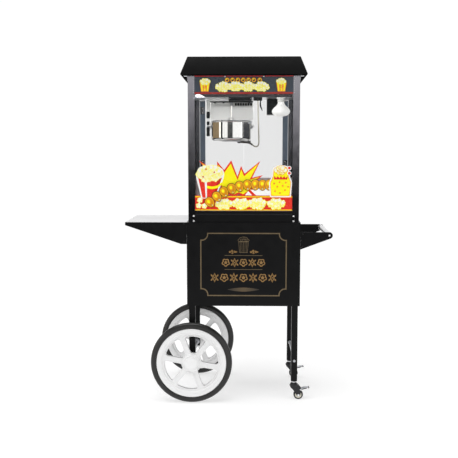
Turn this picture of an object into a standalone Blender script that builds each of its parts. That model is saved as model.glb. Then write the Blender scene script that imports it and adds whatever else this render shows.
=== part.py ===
"""Popcorn cart: a kettle popcorn machine with a glass case, standing on a two-wheeled cart.

Metres, +Z up. The front is -Y and the side shelf is at -X. Every X below is measured from the
middle of the cart cabinet, and CART_X moves it so that the whole object is centred on the origin.
"""

import math

import bmesh
import bpy
from mathutils import Matrix, Vector
from mathutils.geometry import interpolate_bezier

GAP = 0.0003  # clearance between pieces that touch
SHEET = 0.0015  # sheet metal of the cabinet and the machine

SHELF_REACH = 0.278
HANDLE_REACH = 0.1445
CART_X = (SHELF_REACH - HANDLE_REACH) / 2

# Cart cabinet
CAB_X = 0.256
CAB_Y = 0.185
CAB_BOTTOM = 0.4405
CAB_TOP = 0.822
SHELF_TIP_DROP = 0.0135
SHELF_ROOT_DROP = 0.0985
SHELF_ROOT_FLAT = 0.0257
HANDLE_X = 0.3855
HANDLE_Z = 0.764
HANDLE_END_R = 0.015
HANDLE_TUBE_R = 0.0125
BRACKET_ROOT_Z = 0.700
BRACKET_PLATE = 0.003

# Running gear
LEG = 0.028
LEG_X = 0.234
LEG_Y = 0.1626
LEG_RIGHT_BOTTOM = 0.087
LEG_LEFT_BOTTOM = 0.165
CROSSBAR_Z = 0.183
WHEEL_X = -0.2354
WHEEL_R = 0.185
WHEEL_Y = 0.215
RIM_R = 0.158
RING_INNER_R = 0.120
HUB_R = 0.043
HUB_CAP_R = 0.0305
AXLE_R = 0.007
SPOKES = 6
CASTER_TRAIL = 0.0204
CASTER_WHEEL_R = 0.022
CASTER_TOP = 0.0775
PEDAL_PIVOT = Vector((0.031, 0, 0.0475))  # from the swivel axis

# Machine
MACH_X = 0.248
MACH_Y = 0.180
MACH_BOTTOM = CAB_TOP + GAP
GLASS_BOTTOM = 0.8745
GLASS_TOP = 1.3895
HOUSING_BOTTOM = 1.390
EAVES_Z = 1.4726
ROOF_TOP_Z = 1.5535
EAVES_X = 0.278
EAVES_Y = 0.210
ROOF_TOP_X = 0.2484
ROOF_TOP_Y = 0.180
POST = 0.030
POST_SHEET = 0.002
GLASS = 0.004
DOOR_BOTTOM = 1.0125
DOOR_TOP = 1.3885
DOOR_INNER_Y = 0.1755

# Kettle
KETTLE_X = -0.058
KETTLE_R = 0.093
KETTLE_BOTTOM = 1.188
KETTLE_TOP = 1.278
KETTLE_WALL = 0.0015
PIVOT_Z = 1.2537
PIN_R = 0.004
STRAP_LEFT_X = -0.1565
HANDLE_ARM_X = -0.1672
STRAP_RIGHT_X = 0.0423
STRAP = 0.0025
BEAM_Z = 1.3665
BEAM_HALF_Y = 0.012
SHAFT_R = 0.003
SHAFT_TOP = 1.352
LID_Z = 1.2812
LID_SHEET = 0.0012
LID_HINGE_Y = 0.0075
LAMP_X = 0.173

SWITCH_X = (0.110, 0.138, 0.166)
SWITCH_Z = 1.432
SWITCH_ROCK_DEG = 16

MATERIALS = {
    "black_paint": ((0.012, 0.012, 0.013, 1), 0.42, 0.0),
    "roof_paint": ((0.020, 0.020, 0.021, 1), 0.60, 0.0),
    "stainless": ((0.62, 0.62, 0.63, 1), 0.22, 1.0),
    "zinc_steel": ((0.55, 0.56, 0.58, 1), 0.35, 1.0),
    "white_plastic": ((0.80, 0.80, 0.80, 1), 0.35, 0.0),
    "tyre_rubber": ((0.018, 0.018, 0.019, 1), 0.60, 0.0),
    "caster_rubber": ((0.050, 0.050, 0.052, 1), 0.55, 0.0),
    "clear_glass": ((0.90, 0.95, 0.96, 1), 0.04, 0.0),
    "black_plastic": ((0.015, 0.015, 0.015, 1), 0.35, 0.0),
    "lamp_glass": ((0.86, 0.86, 0.84, 1), 0.30, 0.0),
    "sign_slate": ((0.022, 0.028, 0.038, 1), 0.30, 0.0),
    "cord_rubber": ((0.55, 0.54, 0.50, 1), 0.50, 0.0),
}


def clear_scene():
    for obj in list(bpy.data.objects):
        bpy.data.objects.remove(obj, do_unlink=True)


def material(name):
    found = bpy.data.materials.get(name)
    if found:
        return found
    colour, roughness, metallic = MATERIALS[name]
    made = bpy.data.materials.new(name)
    made.use_nodes = True
    shader = made.node_tree.nodes["Principled BSDF"]
    shader.inputs["Base Color"].default_value = colour
    shader.inputs["Roughness"].default_value = roughness
    shader.inputs["Metallic"].default_value = metallic
    return made


def add(name, bm, finish, origin=(0, 0, 0), round_piece=False):
    """Turns a bmesh drawn from the cabinet's middle into an object whose origin is at origin."""
    origin = Vector(origin)
    bmesh.ops.recalc_face_normals(bm, faces=bm.faces)
    bmesh.ops.translate(bm, verts=bm.verts, vec=-origin)
    mesh = bpy.data.meshes.new(name)
    bm.to_mesh(mesh)
    bm.free()
    if round_piece:
        mesh.shade_smooth()
        mesh.set_sharp_from_angle(angle=math.radians(35))
    mesh.materials.append(material(finish))
    obj = bpy.data.objects.new(name, mesh)
    obj.location = origin + Vector((CART_X, 0, 0))
    bpy.context.scene.collection.objects.link(obj)
    return obj


def block(bm, x, y, z):
    """A box between the pairs x, y and z."""
    size = Vector((x[1] - x[0], y[1] - y[0], z[1] - z[0]))
    middle = Vector((x[0] + x[1], y[0] + y[1], z[0] + z[1])) / 2
    where = Matrix.Translation(middle) @ Matrix.Diagonal((*size, 1))
    bmesh.ops.create_cube(bm, size=1, matrix=where)


def box(name, x, y, z, finish, origin=(0, 0, 0)):
    bm = bmesh.new()
    block(bm, x, y, z)
    return add(name, bm, finish, origin)


def rod(bm, start, end, radius, segments=24):
    start = Vector(start)
    end = Vector(end)
    turn = (end - start).to_track_quat("Z", "Y").to_matrix().to_4x4()
    bmesh.ops.create_cone(
        bm,
        cap_ends=True,
        segments=segments,
        radius1=radius,
        radius2=radius,
        depth=(end - start).length,
        matrix=Matrix.Translation((start + end) / 2) @ turn,
    )


def prism(bm, outline, along, low, high):
    """Extrudes a flat outline; along is the axis it's drawn across, 1 for XZ outlines, 2 for XY."""
    def place(a, b, level):
        return (a, level, b) if along == 1 else (a, b, level)

    ring = [bm.verts.new(place(a, b, low)) for a, b in outline]
    face = bm.faces.new(ring)
    made = bmesh.ops.extrude_face_region(bm, geom=[face])["geom"]
    shift = Vector((0, high - low, 0)) if along == 1 else Vector((0, 0, high - low))
    verts = [g for g in made if isinstance(g, bmesh.types.BMVert)]
    bmesh.ops.translate(bm, verts=verts, vec=shift)


def turned(bm, profile, centre, axis, segments):
    """Revolves (radius, distance along axis) points about a line through centre."""
    centre = Vector(centre)
    axis = Vector(axis)
    side = axis.orthogonal().normalized()
    verts = [bm.verts.new(centre + side * r + axis * d) for r, d in profile]
    edges = [bm.edges.new(pair) for pair in zip(verts, verts[1:])]
    if profile[0][0] > 0:
        edges.append(bm.edges.new((verts[-1], verts[0])))
    bmesh.ops.spin(
        bm,
        geom=verts + edges,
        cent=centre,
        axis=axis,
        angle=math.tau,
        steps=segments,
        use_merge=True,
    )
    bmesh.ops.remove_doubles(bm, verts=bm.verts, dist=1e-6)


def boolean(obj, bm, operation, name):
    """Joins a hidden shape to obj, or cuts it away."""
    helper = add(name, bm, "black_plastic", origin=obj.location - Vector((CART_X, 0, 0)))
    helper.hide_render = True
    helper.display_type = "WIRE"
    helper.parent = obj
    helper.location = (0, 0, 0)
    modifier = obj.modifiers.new(name, "BOOLEAN")
    modifier.operation = operation
    modifier.solver = "EXACT"
    modifier.object = helper


def arc(centre, radius, start_deg, end_deg, steps):
    step = (end_deg - start_deg) / steps
    angles = [math.radians(start_deg + step * i) for i in range(steps + 1)]
    return [(centre[0] + radius * math.cos(a), centre[1] + radius * math.sin(a)) for a in angles]


def square_tube(name, middle, half, wall, z, finish):
    """An upright square tube, open at both ends."""
    bm = bmesh.new()
    rings = []
    for level in z:
        for reach in (half, half - wall):
            corners = ((-reach, -reach), (reach, -reach), (reach, reach), (-reach, reach))
            ring = [bm.verts.new((middle[0] + a, middle[1] + b, level)) for a, b in corners]
            rings.append(ring)
    outer_low, inner_low, outer_high, inner_high = rings
    pairs = (
        (outer_low, outer_high),
        (inner_low, inner_high),
        (outer_low, inner_low),
        (outer_high, inner_high),
    )
    for first, second in pairs:
        for i in range(4):
            j = (i + 1) % 4
            bm.faces.new((first[i], first[j], second[j], second[i]))
    return add(name, bm, finish)


def make_cabinet():
    wall_top = CAB_TOP - SHEET - GAP
    inside_front = -CAB_Y + SHEET + GAP
    upright = (CAB_BOTTOM, wall_top)
    box("cart_front_panel", (-CAB_X, CAB_X), (-CAB_Y, -CAB_Y + SHEET), upright, "black_paint")
    for side, name in ((-1, "cart_left_panel"), (1, "cart_right_panel")):
        across = sorted((side * CAB_X, side * (CAB_X - SHEET)))
        box(name, across, (inside_front, CAB_Y), upright, "black_paint")
    inner = CAB_X - SHEET - GAP
    floor_z = (CAB_BOTTOM, CAB_BOTTOM + SHEET)
    box("cart_floor_panel", (-inner, inner), (inside_front, CAB_Y - 0.002), floor_z, "black_paint")
    top_z = (CAB_TOP - SHEET, CAB_TOP)
    box("cart_top_panel", (-CAB_X, CAB_X), (-CAB_Y, CAB_Y), top_z, "black_paint")
    door_x = inner - 0.0012
    door_z = (CAB_BOTTOM + SHEET + 0.0005, wall_top - 0.001)
    hinge = (-door_x - 0.0002, CAB_Y, (door_z[0] + door_z[1]) / 2)
    door_y = (CAB_Y - SHEET - GAP, CAB_Y)
    box("cart_rear_door", (-door_x, door_x), door_y, door_z, "black_paint", hinge)


def make_legs():
    top = CAB_BOTTOM - GAP
    for front, end in ((-1, "front"), (1, "rear")):
        for side, hand, low in ((-1, "left", LEG_LEFT_BOTTOM), (1, "right", LEG_RIGHT_BOTTOM)):
            leg = square_tube(
                f"leg_{end}_{hand}",
                (side * LEG_X, front * LEG_Y),
                LEG / 2,
                0.002,
                (low, top),
                "black_paint",
            )
            if hand == "left":
                hole = bmesh.new()
                y = front * LEG_Y
                reach = LEG
                rod(hole, (WHEEL_X, y - reach, WHEEL_R), (WHEEL_X, y + reach, WHEEL_R), AXLE_R + GAP)
                boolean(leg, hole, "DIFFERENCE", f"axle_hole_{end}")
    bm = bmesh.new()
    reach = LEG_Y - LEG / 2 - GAP
    rod(bm, (LEG_X, -reach, CROSSBAR_Z), (LEG_X, reach, CROSSBAR_Z), 0.005, 16)
    add("leg_crossbar", bm, "zinc_steel", round_piece=True)
    bm = bmesh.new()
    end_y = WHEEL_Y + 0.007
    rod(bm, (WHEEL_X, -end_y, WHEEL_R), (WHEEL_X, end_y, WHEEL_R), AXLE_R)
    add("wheel_axle", bm, "zinc_steel", (WHEEL_X, 0, WHEEL_R), round_piece=True)


def make_shelf():
    root = -CAB_X - GAP
    tip = -CAB_X - SHELF_REACH
    inner_y = CAB_Y - 0.002 - GAP
    lip = SHELF_TIP_DROP
    bm = bmesh.new()
    outline = (
        (root, CAB_TOP),
        (root, CAB_TOP - SHEET),
        (tip + SHEET, CAB_TOP - SHEET),
        (tip + SHEET, CAB_TOP - lip),
        (tip, CAB_TOP - lip),
        (tip, CAB_TOP),
    )
    prism(bm, outline, 1, -inner_y, inner_y)
    add("side_shelf_top", bm, "stainless")
    outline = (
        (root, CAB_TOP),
        (root, CAB_TOP - SHELF_ROOT_DROP),
        (-CAB_X - SHELF_ROOT_FLAT, CAB_TOP - SHELF_ROOT_DROP),
        (tip, CAB_TOP - lip),
        (tip, CAB_TOP),
    )
    for side, name in ((-1, "side_shelf_bracket_front"), (1, "side_shelf_bracket_rear")):
        bm = bmesh.new()
        low, high = sorted((side * CAB_Y, side * (CAB_Y - 0.002)))
        prism(bm, outline, 1, low, high)
        add(name, bm, "black_paint")


def make_handle():
    root = CAB_X + GAP
    nose = arc((HANDLE_X, HANDLE_Z), HANDLE_END_R, 90, -70, 10)
    outline = [(root, HANDLE_Z + HANDLE_END_R), *nose, (root, BRACKET_ROOT_Z)]
    for side, name in ((-1, "handle_bracket_front"), (1, "handle_bracket_rear")):
        bm = bmesh.new()
        low, high = sorted((side * CAB_Y, side * (CAB_Y - BRACKET_PLATE)))
        prism(bm, outline, 1, low, high)
        add(name, bm, "black_paint")
    reach = CAB_Y - BRACKET_PLATE - GAP
    inner = HANDLE_TUBE_R - 0.0015
    profile = ((inner, -reach), (HANDLE_TUBE_R, -reach), (HANDLE_TUBE_R, reach), (inner, reach))
    bm = bmesh.new()
    turned(bm, profile, (HANDLE_X, 0, HANDLE_Z), (0, 1, 0), 24)
    add("push_handle", bm, "stainless", round_piece=True)


def spoke_shapes(centre, half_width, half_thick):
    """The wheel's spokes, each wider at its two ends than in its middle."""
    bm = bmesh.new()
    inner = HUB_R - 0.008
    outer = RING_INNER_R + 0.006
    middle = (inner + outer) / 2
    waist = half_width * 0.72
    outline = (
        (inner, -half_width),
        (middle, -waist),
        (outer, -half_width),
        (outer, half_width),
        (middle, waist),
        (inner, half_width),
    )
    for i in range(SPOKES):
        turn = Matrix.Rotation(math.radians(10 + 360 * i / SPOKES), 4, "Y")
        before = set(bm.verts)
        prism(bm, outline, 1, -half_thick, half_thick)
        fresh = [v for v in bm.verts if v not in before]
        bmesh.ops.transform(bm, matrix=Matrix.Translation(centre) @ turn, verts=fresh)
    return bm


def make_wheel(side, end):
    """side is -1 for the wheel at the front; the hub's cap faces outwards."""
    centre = Vector((WHEEL_X, side * WHEEL_Y, WHEEL_R))
    out = (0, side, 0)
    half = 0.014
    ring = (
        (RING_INNER_R, -half),
        (RIM_R, -half),
        (RIM_R, half),
        (RIM_R - 0.012, half),
        (RIM_R - 0.016, half - 0.005),
        (RING_INNER_R, half - 0.005),
    )
    bm = bmesh.new()
    turned(bm, ring, centre, out, 40)
    rim = add(f"{end}_wheel_rim", bm, "white_plastic", centre, round_piece=True)
    boolean(rim, spoke_shapes(centre, 0.017, half - 0.006), "UNION", f"{end}_spokes")
    bore_end = 0.0075
    hub = (
        (0, bore_end),
        (AXLE_R + GAP, bore_end),
        (AXLE_R + GAP, -0.022),
        (HUB_R, -0.022),
        (HUB_R, 0.012),
        (HUB_CAP_R, 0.016),
        (HUB_CAP_R, 0.023),
        (HUB_CAP_R - 0.003, 0.025),
        (0, 0.025),
    )
    bm = bmesh.new()
    turned(bm, hub, centre, out, 24)
    boolean(rim, bm, "UNION", f"{end}_hub")
    tyre = [(RIM_R + GAP, -0.013), (RIM_R + 0.010, -0.017)]
    tyre += [(WHEEL_R - 0.015 + a, b) for a, b in arc((0, 0), 0.015, -65, 65, 6)]
    tyre += [(RIM_R + 0.010, 0.017), (RIM_R + GAP, 0.013)]
    bm = bmesh.new()
    turned(bm, tyre, centre, out, 40)
    add(f"{end}_wheel_tyre", bm, "tyre_rubber", centre, round_piece=True)


def caster_fork(swivel, name):
    """A pressed fork that turns about the upright line through swivel."""
    wheel = swivel + Vector((CASTER_TRAIL, 0, CASTER_WHEEL_R))
    x = swivel.x
    outline = [
        (x - 0.019, CASTER_TOP),
        (x - 0.019, CASTER_TOP - 0.010),
        (x - 0.004, 0.050),
    ]
    outline += arc((wheel.x, wheel.z), 0.008, 200, 340, 6)
    outline += [(x + 0.035, PEDAL_PIVOT.z), (x + 0.034, 0.052), (x + 0.021, CASTER_TOP)]
    bm = bmesh.new()
    prism(bm, outline, 1, swivel.y - 0.0135, swivel.y + 0.0135)
    fork = add(name, bm, "black_paint", (swivel.x, swivel.y, CASTER_TOP))
    slot = bmesh.new()
    across = (swivel.y - 0.0113, swivel.y + 0.0113)
    block(slot, (x - 0.03, x + 0.05), across, (0.0, 0.0555))
    boolean(fork, slot, "DIFFERENCE", f"{name}_slot")
    pins = bmesh.new()
    for px, pz, radius in ((wheel.x, wheel.z, 0.003), (x + PEDAL_PIVOT.x, PEDAL_PIVOT.z, 0.0018)):
        rod(pins, (px, swivel.y - 0.0125, pz), (px, swivel.y + 0.0125, pz), radius, 16)
    boolean(fork, pins, "UNION", f"{name}_pins")
    stem = bmesh.new()
    low = (x, swivel.y, CASTER_TOP - 0.005)
    high = (x, swivel.y, LEG_RIGHT_BOTTOM - GAP)
    rod(stem, low, high, 0.005, 16)
    boolean(fork, stem, "UNION", f"{name}_stem")


def caster_wheel(swivel, name):
    centre = swivel + Vector((CASTER_TRAIL, 0, CASTER_WHEEL_R))
    bore = 0.003 + GAP
    profile = (
        (bore, -0.0105),
        (0.008, -0.0105),
        (0.010, -0.0085),
        (CASTER_WHEEL_R - 0.003, -0.0095),
        (CASTER_WHEEL_R, -0.0065),
        (CASTER_WHEEL_R, 0.0065),
        (CASTER_WHEEL_R - 0.003, 0.0095),
        (0.010, 0.0085),
        (0.008, 0.0105),
        (bore, 0.0105),
    )
    bm = bmesh.new()
    turned(bm, profile, centre, (0, 1, 0), 24)
    add(name, bm, "caster_rubber", centre, round_piece=True)


def caster_pedal(swivel, name):
    pivot = swivel + PEDAL_PIVOT
    barrel = arc((pivot.x, pivot.z), 0.0035, 60, 290, 8)
    toe = arc((pivot.x + 0.038, pivot.z + 0.0065), 0.0028, -80, 90, 5)
    bm = bmesh.new()
    prism(bm, [*barrel, *toe], 1, pivot.y - 0.0105, pivot.y + 0.0105)
    pedal = add(name, bm, "black_plastic", pivot)
    bore = bmesh.new()
    rod(bore, pivot - Vector((0, 0.02, 0)), pivot + Vector((0, 0.02, 0)), 0.0018 + GAP, 16)
    boolean(pedal, bore, "DIFFERENCE", f"{name}_bore")


def make_casters():
    for side, end in ((-1, "front"), (1, "rear")):
        swivel = Vector((LEG_X, side * LEG_Y, 0))
        caster_fork(swivel, f"caster_{end}_fork")
        caster_wheel(swivel, f"caster_{end}_wheel")
        caster_pedal(swivel, f"caster_{end}_brake_pedal")


def make_base():
    inner_x = MACH_X - POST - GAP
    rail_top = GLASS_BOTTOM - 0.001
    rail_z = (MACH_BOTTOM, rail_top)
    front_y = (-MACH_Y, -MACH_Y + POST_SHEET)
    box("machine_front_rail", (-inner_x, inner_x), front_y, rail_z, "black_paint")
    side_y = MACH_Y - POST - GAP
    for side, name in ((-1, "machine_left_rail"), (1, "machine_right_rail")):
        across = sorted((side * MACH_X, side * (MACH_X - POST_SHEET)))
        box(name, across, (-side_y, side_y), rail_z, "black_paint")
    reach = MACH_X - POST_SHEET - GAP
    plate_y = (-MACH_Y + POST_SHEET + GAP, 0.1748)
    box("popcorn_tray_plate", (-reach, reach), plate_y, (0.8718, 0.8730), "stainless")
    sill_z = (GLASS_BOTTOM, DOOR_BOTTOM - 0.0015)
    sill_y = (DOOR_INNER_Y, DOOR_INNER_Y + 0.002)
    box("rear_sill_panel", (-reach, reach), sill_y, sill_z, "stainless")


def make_crumb_drawer():
    """An open tray under the popcorn plate, with the rear rail as its front."""
    face_x = MACH_X - POST - GAP
    face_y = (MACH_Y - POST_SHEET, MACH_Y)
    bm = bmesh.new()
    block(bm, (-face_x, face_x), face_y, (MACH_BOTTOM + 0.0005, GLASS_BOTTOM - 0.001))
    origin = (0, MACH_Y, 0.848)
    drawer = add("crumb_drawer", bm, "black_paint", origin)
    tray = bmesh.new()
    block(tray, (-0.200, 0.200), (-0.100, MACH_Y - 0.001), (0.8235, 0.8640))
    boolean(drawer, tray, "UNION", "drawer_tray")
    hollow = bmesh.new()
    block(hollow, (-0.1985, 0.1985), (-0.0985, MACH_Y - POST_SHEET - 0.0005), (0.8250, 0.8700))
    boolean(drawer, hollow, "DIFFERENCE", "drawer_hollow")


def make_posts():
    inner = POST_SHEET
    for end, fy in (("front", -1), ("rear", 1)):
        for hand, fx in (("left", -1), ("right", 1)):
            outline = (
                (fx * MACH_X, fy * MACH_Y),
                (fx * (MACH_X - POST), fy * MACH_Y),
                (fx * (MACH_X - POST), fy * (MACH_Y - inner)),
                (fx * (MACH_X - inner), fy * (MACH_Y - inner)),
                (fx * (MACH_X - inner), fy * (MACH_Y - POST)),
                (fx * MACH_X, fy * (MACH_Y - POST)),
            )
            bm = bmesh.new()
            prism(bm, outline, 2, MACH_BOTTOM, EAVES_Z - GAP)
            add(f"machine_post_{end}_{hand}", bm, "black_paint")


def make_top():
    sign_x = MACH_X - POST - GAP
    sign_y = (-MACH_Y + 0.0005, -MACH_Y + POST_SHEET)
    box("sign_panel", (-sign_x, sign_x), sign_y, (HOUSING_BOTTOM, EAVES_Z - GAP), "sign_slate")
    half_x = MACH_X - POST_SHEET - GAP
    half_y = MACH_Y - POST_SHEET - GAP
    bm = bmesh.new()
    block(bm, (-half_x, half_x), (-half_y, half_y), (HOUSING_BOTTOM, EAVES_Z - GAP))
    housing = add("top_housing", bm, "black_paint")
    hollow = bmesh.new()
    hx = half_x - SHEET
    hy = half_y - SHEET
    block(hollow, (-hx, hx), (-hy, hy), (HOUSING_BOTTOM + SHEET, EAVES_Z + 0.02))
    boolean(housing, hollow, "DIFFERENCE", "housing_hollow")


def frustum(bm, low, high, inset):
    """A block with sloping sides between two (half x, half y, z) rectangles."""
    rings = []
    for half_x, half_y, z in (low, high):
        hx = half_x - inset
        hy = half_y - inset
        corners = ((-hx, -hy), (hx, -hy), (hx, hy), (-hx, hy))
        rings.append([bm.verts.new((a, b, z)) for a, b in corners])
    bm.faces.new(rings[0])
    bm.faces.new(rings[1])
    for i in range(4):
        j = (i + 1) % 4
        bm.faces.new((rings[0][i], rings[0][j], rings[1][j], rings[1][i]))


def make_roof():
    bm = bmesh.new()
    low = (EAVES_X, EAVES_Y, EAVES_Z)
    frustum(bm, low, (ROOF_TOP_X, ROOF_TOP_Y, ROOF_TOP_Z), 0)
    roof = add("roof", bm, "roof_paint")
    hollow = bmesh.new()
    rise = (ROOF_TOP_Z - EAVES_Z) / (EAVES_X - ROOF_TOP_X)
    drop = 0.02
    below = (EAVES_X + drop / rise, EAVES_Y + drop / rise, EAVES_Z - drop)
    above_x = ROOF_TOP_X + SHEET / rise
    above_y = ROOF_TOP_Y + SHEET / rise
    frustum(hollow, below, (above_x, above_y, ROOF_TOP_Z - SHEET), SHEET)
    boolean(roof, hollow, "DIFFERENCE", "roof_hollow")


def make_glass():
    upright = (GLASS_BOTTOM, GLASS_TOP)
    front = -MACH_Y + POST_SHEET + 0.0005
    box("front_glass", (-0.235, 0.235), (front, front + GLASS), upright, "clear_glass")
    outer = MACH_X - POST_SHEET - 0.0005
    for side, name in ((-1, "left_glass"), (1, "right_glass")):
        across = sorted((side * outer, side * (outer - GLASS)))
        box(name, across, (-0.166, 0.166), upright, "clear_glass")
    door_y = (DOOR_INNER_Y, DOOR_INNER_Y + GLASS)
    edge = MACH_X - POST - 0.0015
    door_z = (DOOR_BOTTOM, DOOR_TOP)
    for side, name in ((-1, "left_glass_door"), (1, "right_glass_door")):
        across = sorted((side * edge, side * 0.0008))
        hinge = (side * (edge + 0.0005), door_y[1] + 0.0005, (DOOR_BOTTOM + DOOR_TOP) / 2)
        box(name, across, door_y, door_z, "clear_glass", hinge)


def make_hanger():
    left = STRAP_LEFT_X
    right = STRAP_RIGHT_X
    half = STRAP / 2
    foot = PIVOT_Z - 0.015
    beam_top = BEAM_Z + 0.005
    outline = (
        (left - half, foot),
        (left + half, foot),
        (left + half, BEAM_Z),
        (right - half, BEAM_Z),
        (right - half, foot),
        (right + half, foot),
        (right + half, beam_top),
        (left - half, beam_top),
    )
    bm = bmesh.new()
    prism(bm, outline, 1, -BEAM_HALF_Y, BEAM_HALF_Y)
    hanger = add("kettle_hanger", bm, "zinc_steel", (0, 0, PIVOT_Z))
    holes = bmesh.new()
    rod(holes, (left - 0.02, 0, PIVOT_Z), (right + 0.02, 0, PIVOT_Z), PIN_R + GAP)
    boolean(hanger, holes, "DIFFERENCE", "pivot_holes")
    top = (beam_top + GAP, HOUSING_BOTTOM - GAP)
    box("stir_motor_housing", (-0.070, 0.036), (-0.050, 0.050), top, "black_paint")


def make_pot():
    pivot = Vector((KETTLE_X, 0, PIVOT_Z))
    inner = KETTLE_R - KETTLE_WALL
    profile = [(0, KETTLE_BOTTOM)]
    profile += arc((KETTLE_R - 0.014, KETTLE_BOTTOM + 0.014), 0.014, -90, 0, 4)
    profile += [
        (KETTLE_R, KETTLE_TOP - 0.004),
        (KETTLE_R + 0.0025, KETTLE_TOP - 0.003),
        (KETTLE_R + 0.0025, KETTLE_TOP),
        (inner, KETTLE_TOP),
    ]
    profile += arc((inner - 0.0125, KETTLE_BOTTOM + 0.014), 0.0125, 0, -90, 4)
    profile.append((0, KETTLE_BOTTOM + KETTLE_WALL))
    bm = bmesh.new()
    turned(bm, profile, (KETTLE_X, 0, 0), (0, 0, 1), 36)
    pot = add("kettle_pot", bm, "stainless", pivot, round_piece=True)
    pins = bmesh.new()
    wall_x = KETTLE_R - KETTLE_WALL / 2
    rod(pins, (KETTLE_X - wall_x, 0, PIVOT_Z), (HANDLE_ARM_X + 0.0016, 0, PIVOT_Z), PIN_R)
    rod(pins, (KETTLE_X + wall_x, 0, PIVOT_Z), (STRAP_RIGHT_X + 0.004, 0, PIVOT_Z), PIN_R)
    boolean(pot, pins, "UNION", "pivot_pins")
    bridge = bmesh.new()
    reach = KETTLE_R - 0.0003
    across = (KETTLE_X - reach, KETTLE_X + reach)
    block(bridge, across, (-0.006, 0.006), (KETTLE_TOP - 0.0025, KETTLE_TOP + 0.0015))
    boolean(pot, bridge, "UNION", "lid_bridge")
    shaft_hole = bmesh.new()
    rod(shaft_hole, (KETTLE_X, 0, KETTLE_TOP - 0.02), (KETTLE_X, 0, KETTLE_TOP + 0.02), 0.0038)
    boolean(pot, shaft_hole, "DIFFERENCE", "shaft_hole")


def make_kettle_handle():
    middle = HANDLE_ARM_X
    pivot = (KETTLE_X, 0, PIVOT_Z)
    bm = bmesh.new()
    block(bm, (middle - 0.00125, middle + 0.00125), (-0.006, 0.006), (1.2160, 1.3200))
    handle = add("kettle_tilt_handle", bm, "zinc_steel", pivot)
    grips = bmesh.new()
    rod(grips, (middle, 0, 1.293), (middle, 0, 1.325), 0.0085)
    rod(grips, (middle, 0, 1.210), (middle, 0, 1.2475), 0.0060)
    boolean(handle, grips, "UNION", "handle_grips")


def make_lids():
    """Two half discs with a notch for the shaft, hinged beside the bridge over the kettle."""
    radius = KETTLE_R - 0.0005
    notch_r = 0.0095
    start = math.degrees(math.asin(LID_HINGE_Y / radius))
    notch_start = math.degrees(math.asin(LID_HINGE_Y / notch_r))
    outline = arc((KETTLE_X, 0), radius, start, 180 - start, 24)
    outline += arc((KETTLE_X, 0), notch_r, 180 - notch_start, notch_start, 4)
    for side, name in ((-1, "kettle_lid_front"), (1, "kettle_lid_rear")):
        bm = bmesh.new()
        prism(bm, [(a, side * b) for a, b in outline], 2, LID_Z - LID_SHEET, LID_Z)
        add(name, bm, "stainless", (KETTLE_X, side * LID_HINGE_Y, LID_Z))


def make_stirrer():
    bm = bmesh.new()
    low = KETTLE_BOTTOM + KETTLE_WALL + 0.0015
    rod(bm, (KETTLE_X, 0, low), (KETTLE_X, 0, SHAFT_TOP), SHAFT_R, 16)
    stirrer = add("stirrer", bm, "stainless", (KETTLE_X, 0, low), round_piece=True)
    blades = bmesh.new()
    reach = 0.066
    block(blades, (KETTLE_X - reach, KETTLE_X + reach), (-0.002, 0.002), (low + 0.0005, low + 0.010))
    boolean(stirrer, blades, "UNION", "stirrer_blades")
    bm = bmesh.new()
    rod(bm, (KETTLE_X, 0, SHAFT_TOP + 0.0005), (KETTLE_X, 0, BEAM_Z - GAP), 0.008, 20)
    add("stir_drive_coupling", bm, "zinc_steel", (KETTLE_X, 0, SHAFT_TOP), round_piece=True)


def make_lead():
    """The kettle's supply lead: down from the ceiling, round, and up to the kettle's underside."""
    route = (
        ((0.0655, 1.3890), (0.0655, 1.3300), (0.0705, 1.2300), (0.0705, 1.1830), 26),
        ((0.0705, 1.1830), (0.0705, 1.1700), (0.0665, 1.1620), (0.0570, 1.1620), 10),
        ((0.0570, 1.1620), (0.0450, 1.1620), (0.0330, 1.1800), (0.0190, 1.1815), 12),
        ((0.0190, 1.1815), (0.0100, 1.1825), (0.0020, 1.1830), (-0.0070, 1.1830), 5),
    )
    points = []
    for start, out, back, end, count in route:
        corners = [Vector((x, 0, z)) for x, z in (start, out, back, end)]
        made = interpolate_bezier(*corners, count)
        points += made[1:] if points else made
    curve = bpy.data.curves.new("kettle_lead", "CURVE")
    curve.dimensions = "3D"
    curve.bevel_depth = 0.003
    curve.bevel_resolution = 2
    curve.use_fill_caps = True
    spline = curve.splines.new("POLY")
    spline.points.add(len(points) - 1)
    for place, point in zip(spline.points, points):
        place.co = (*point, 1)
    curve.materials.append(material("cord_rubber"))
    lead = bpy.data.objects.new("kettle_lead", curve)
    lead.location = (CART_X, 0, 0)
    bpy.context.scene.collection.objects.link(lead)


def make_lamp_and_wiring():
    profile = (
        (0, 1.3895),
        (0.0130, 1.3895),
        (0.0130, 1.3660),
        (0.0180, 1.3550),
        (0.0330, 1.3425),
        (0.0415, 1.3320),
        (0.0425, 1.3250),
        (0.0395, 1.3140),
        (0.0300, 1.3055),
        (0.0150, 1.3022),
        (0, 1.3015),
    )
    bm = bmesh.new()
    turned(bm, profile, (LAMP_X, 0, 0), (0, 0, 1), 24)
    add("heat_lamp", bm, "lamp_glass", round_piece=True)
    box("wiring_box", (0.111, 0.178), (0.100, 0.168), (1.316, HOUSING_BOTTOM - GAP), "black_plastic")


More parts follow.
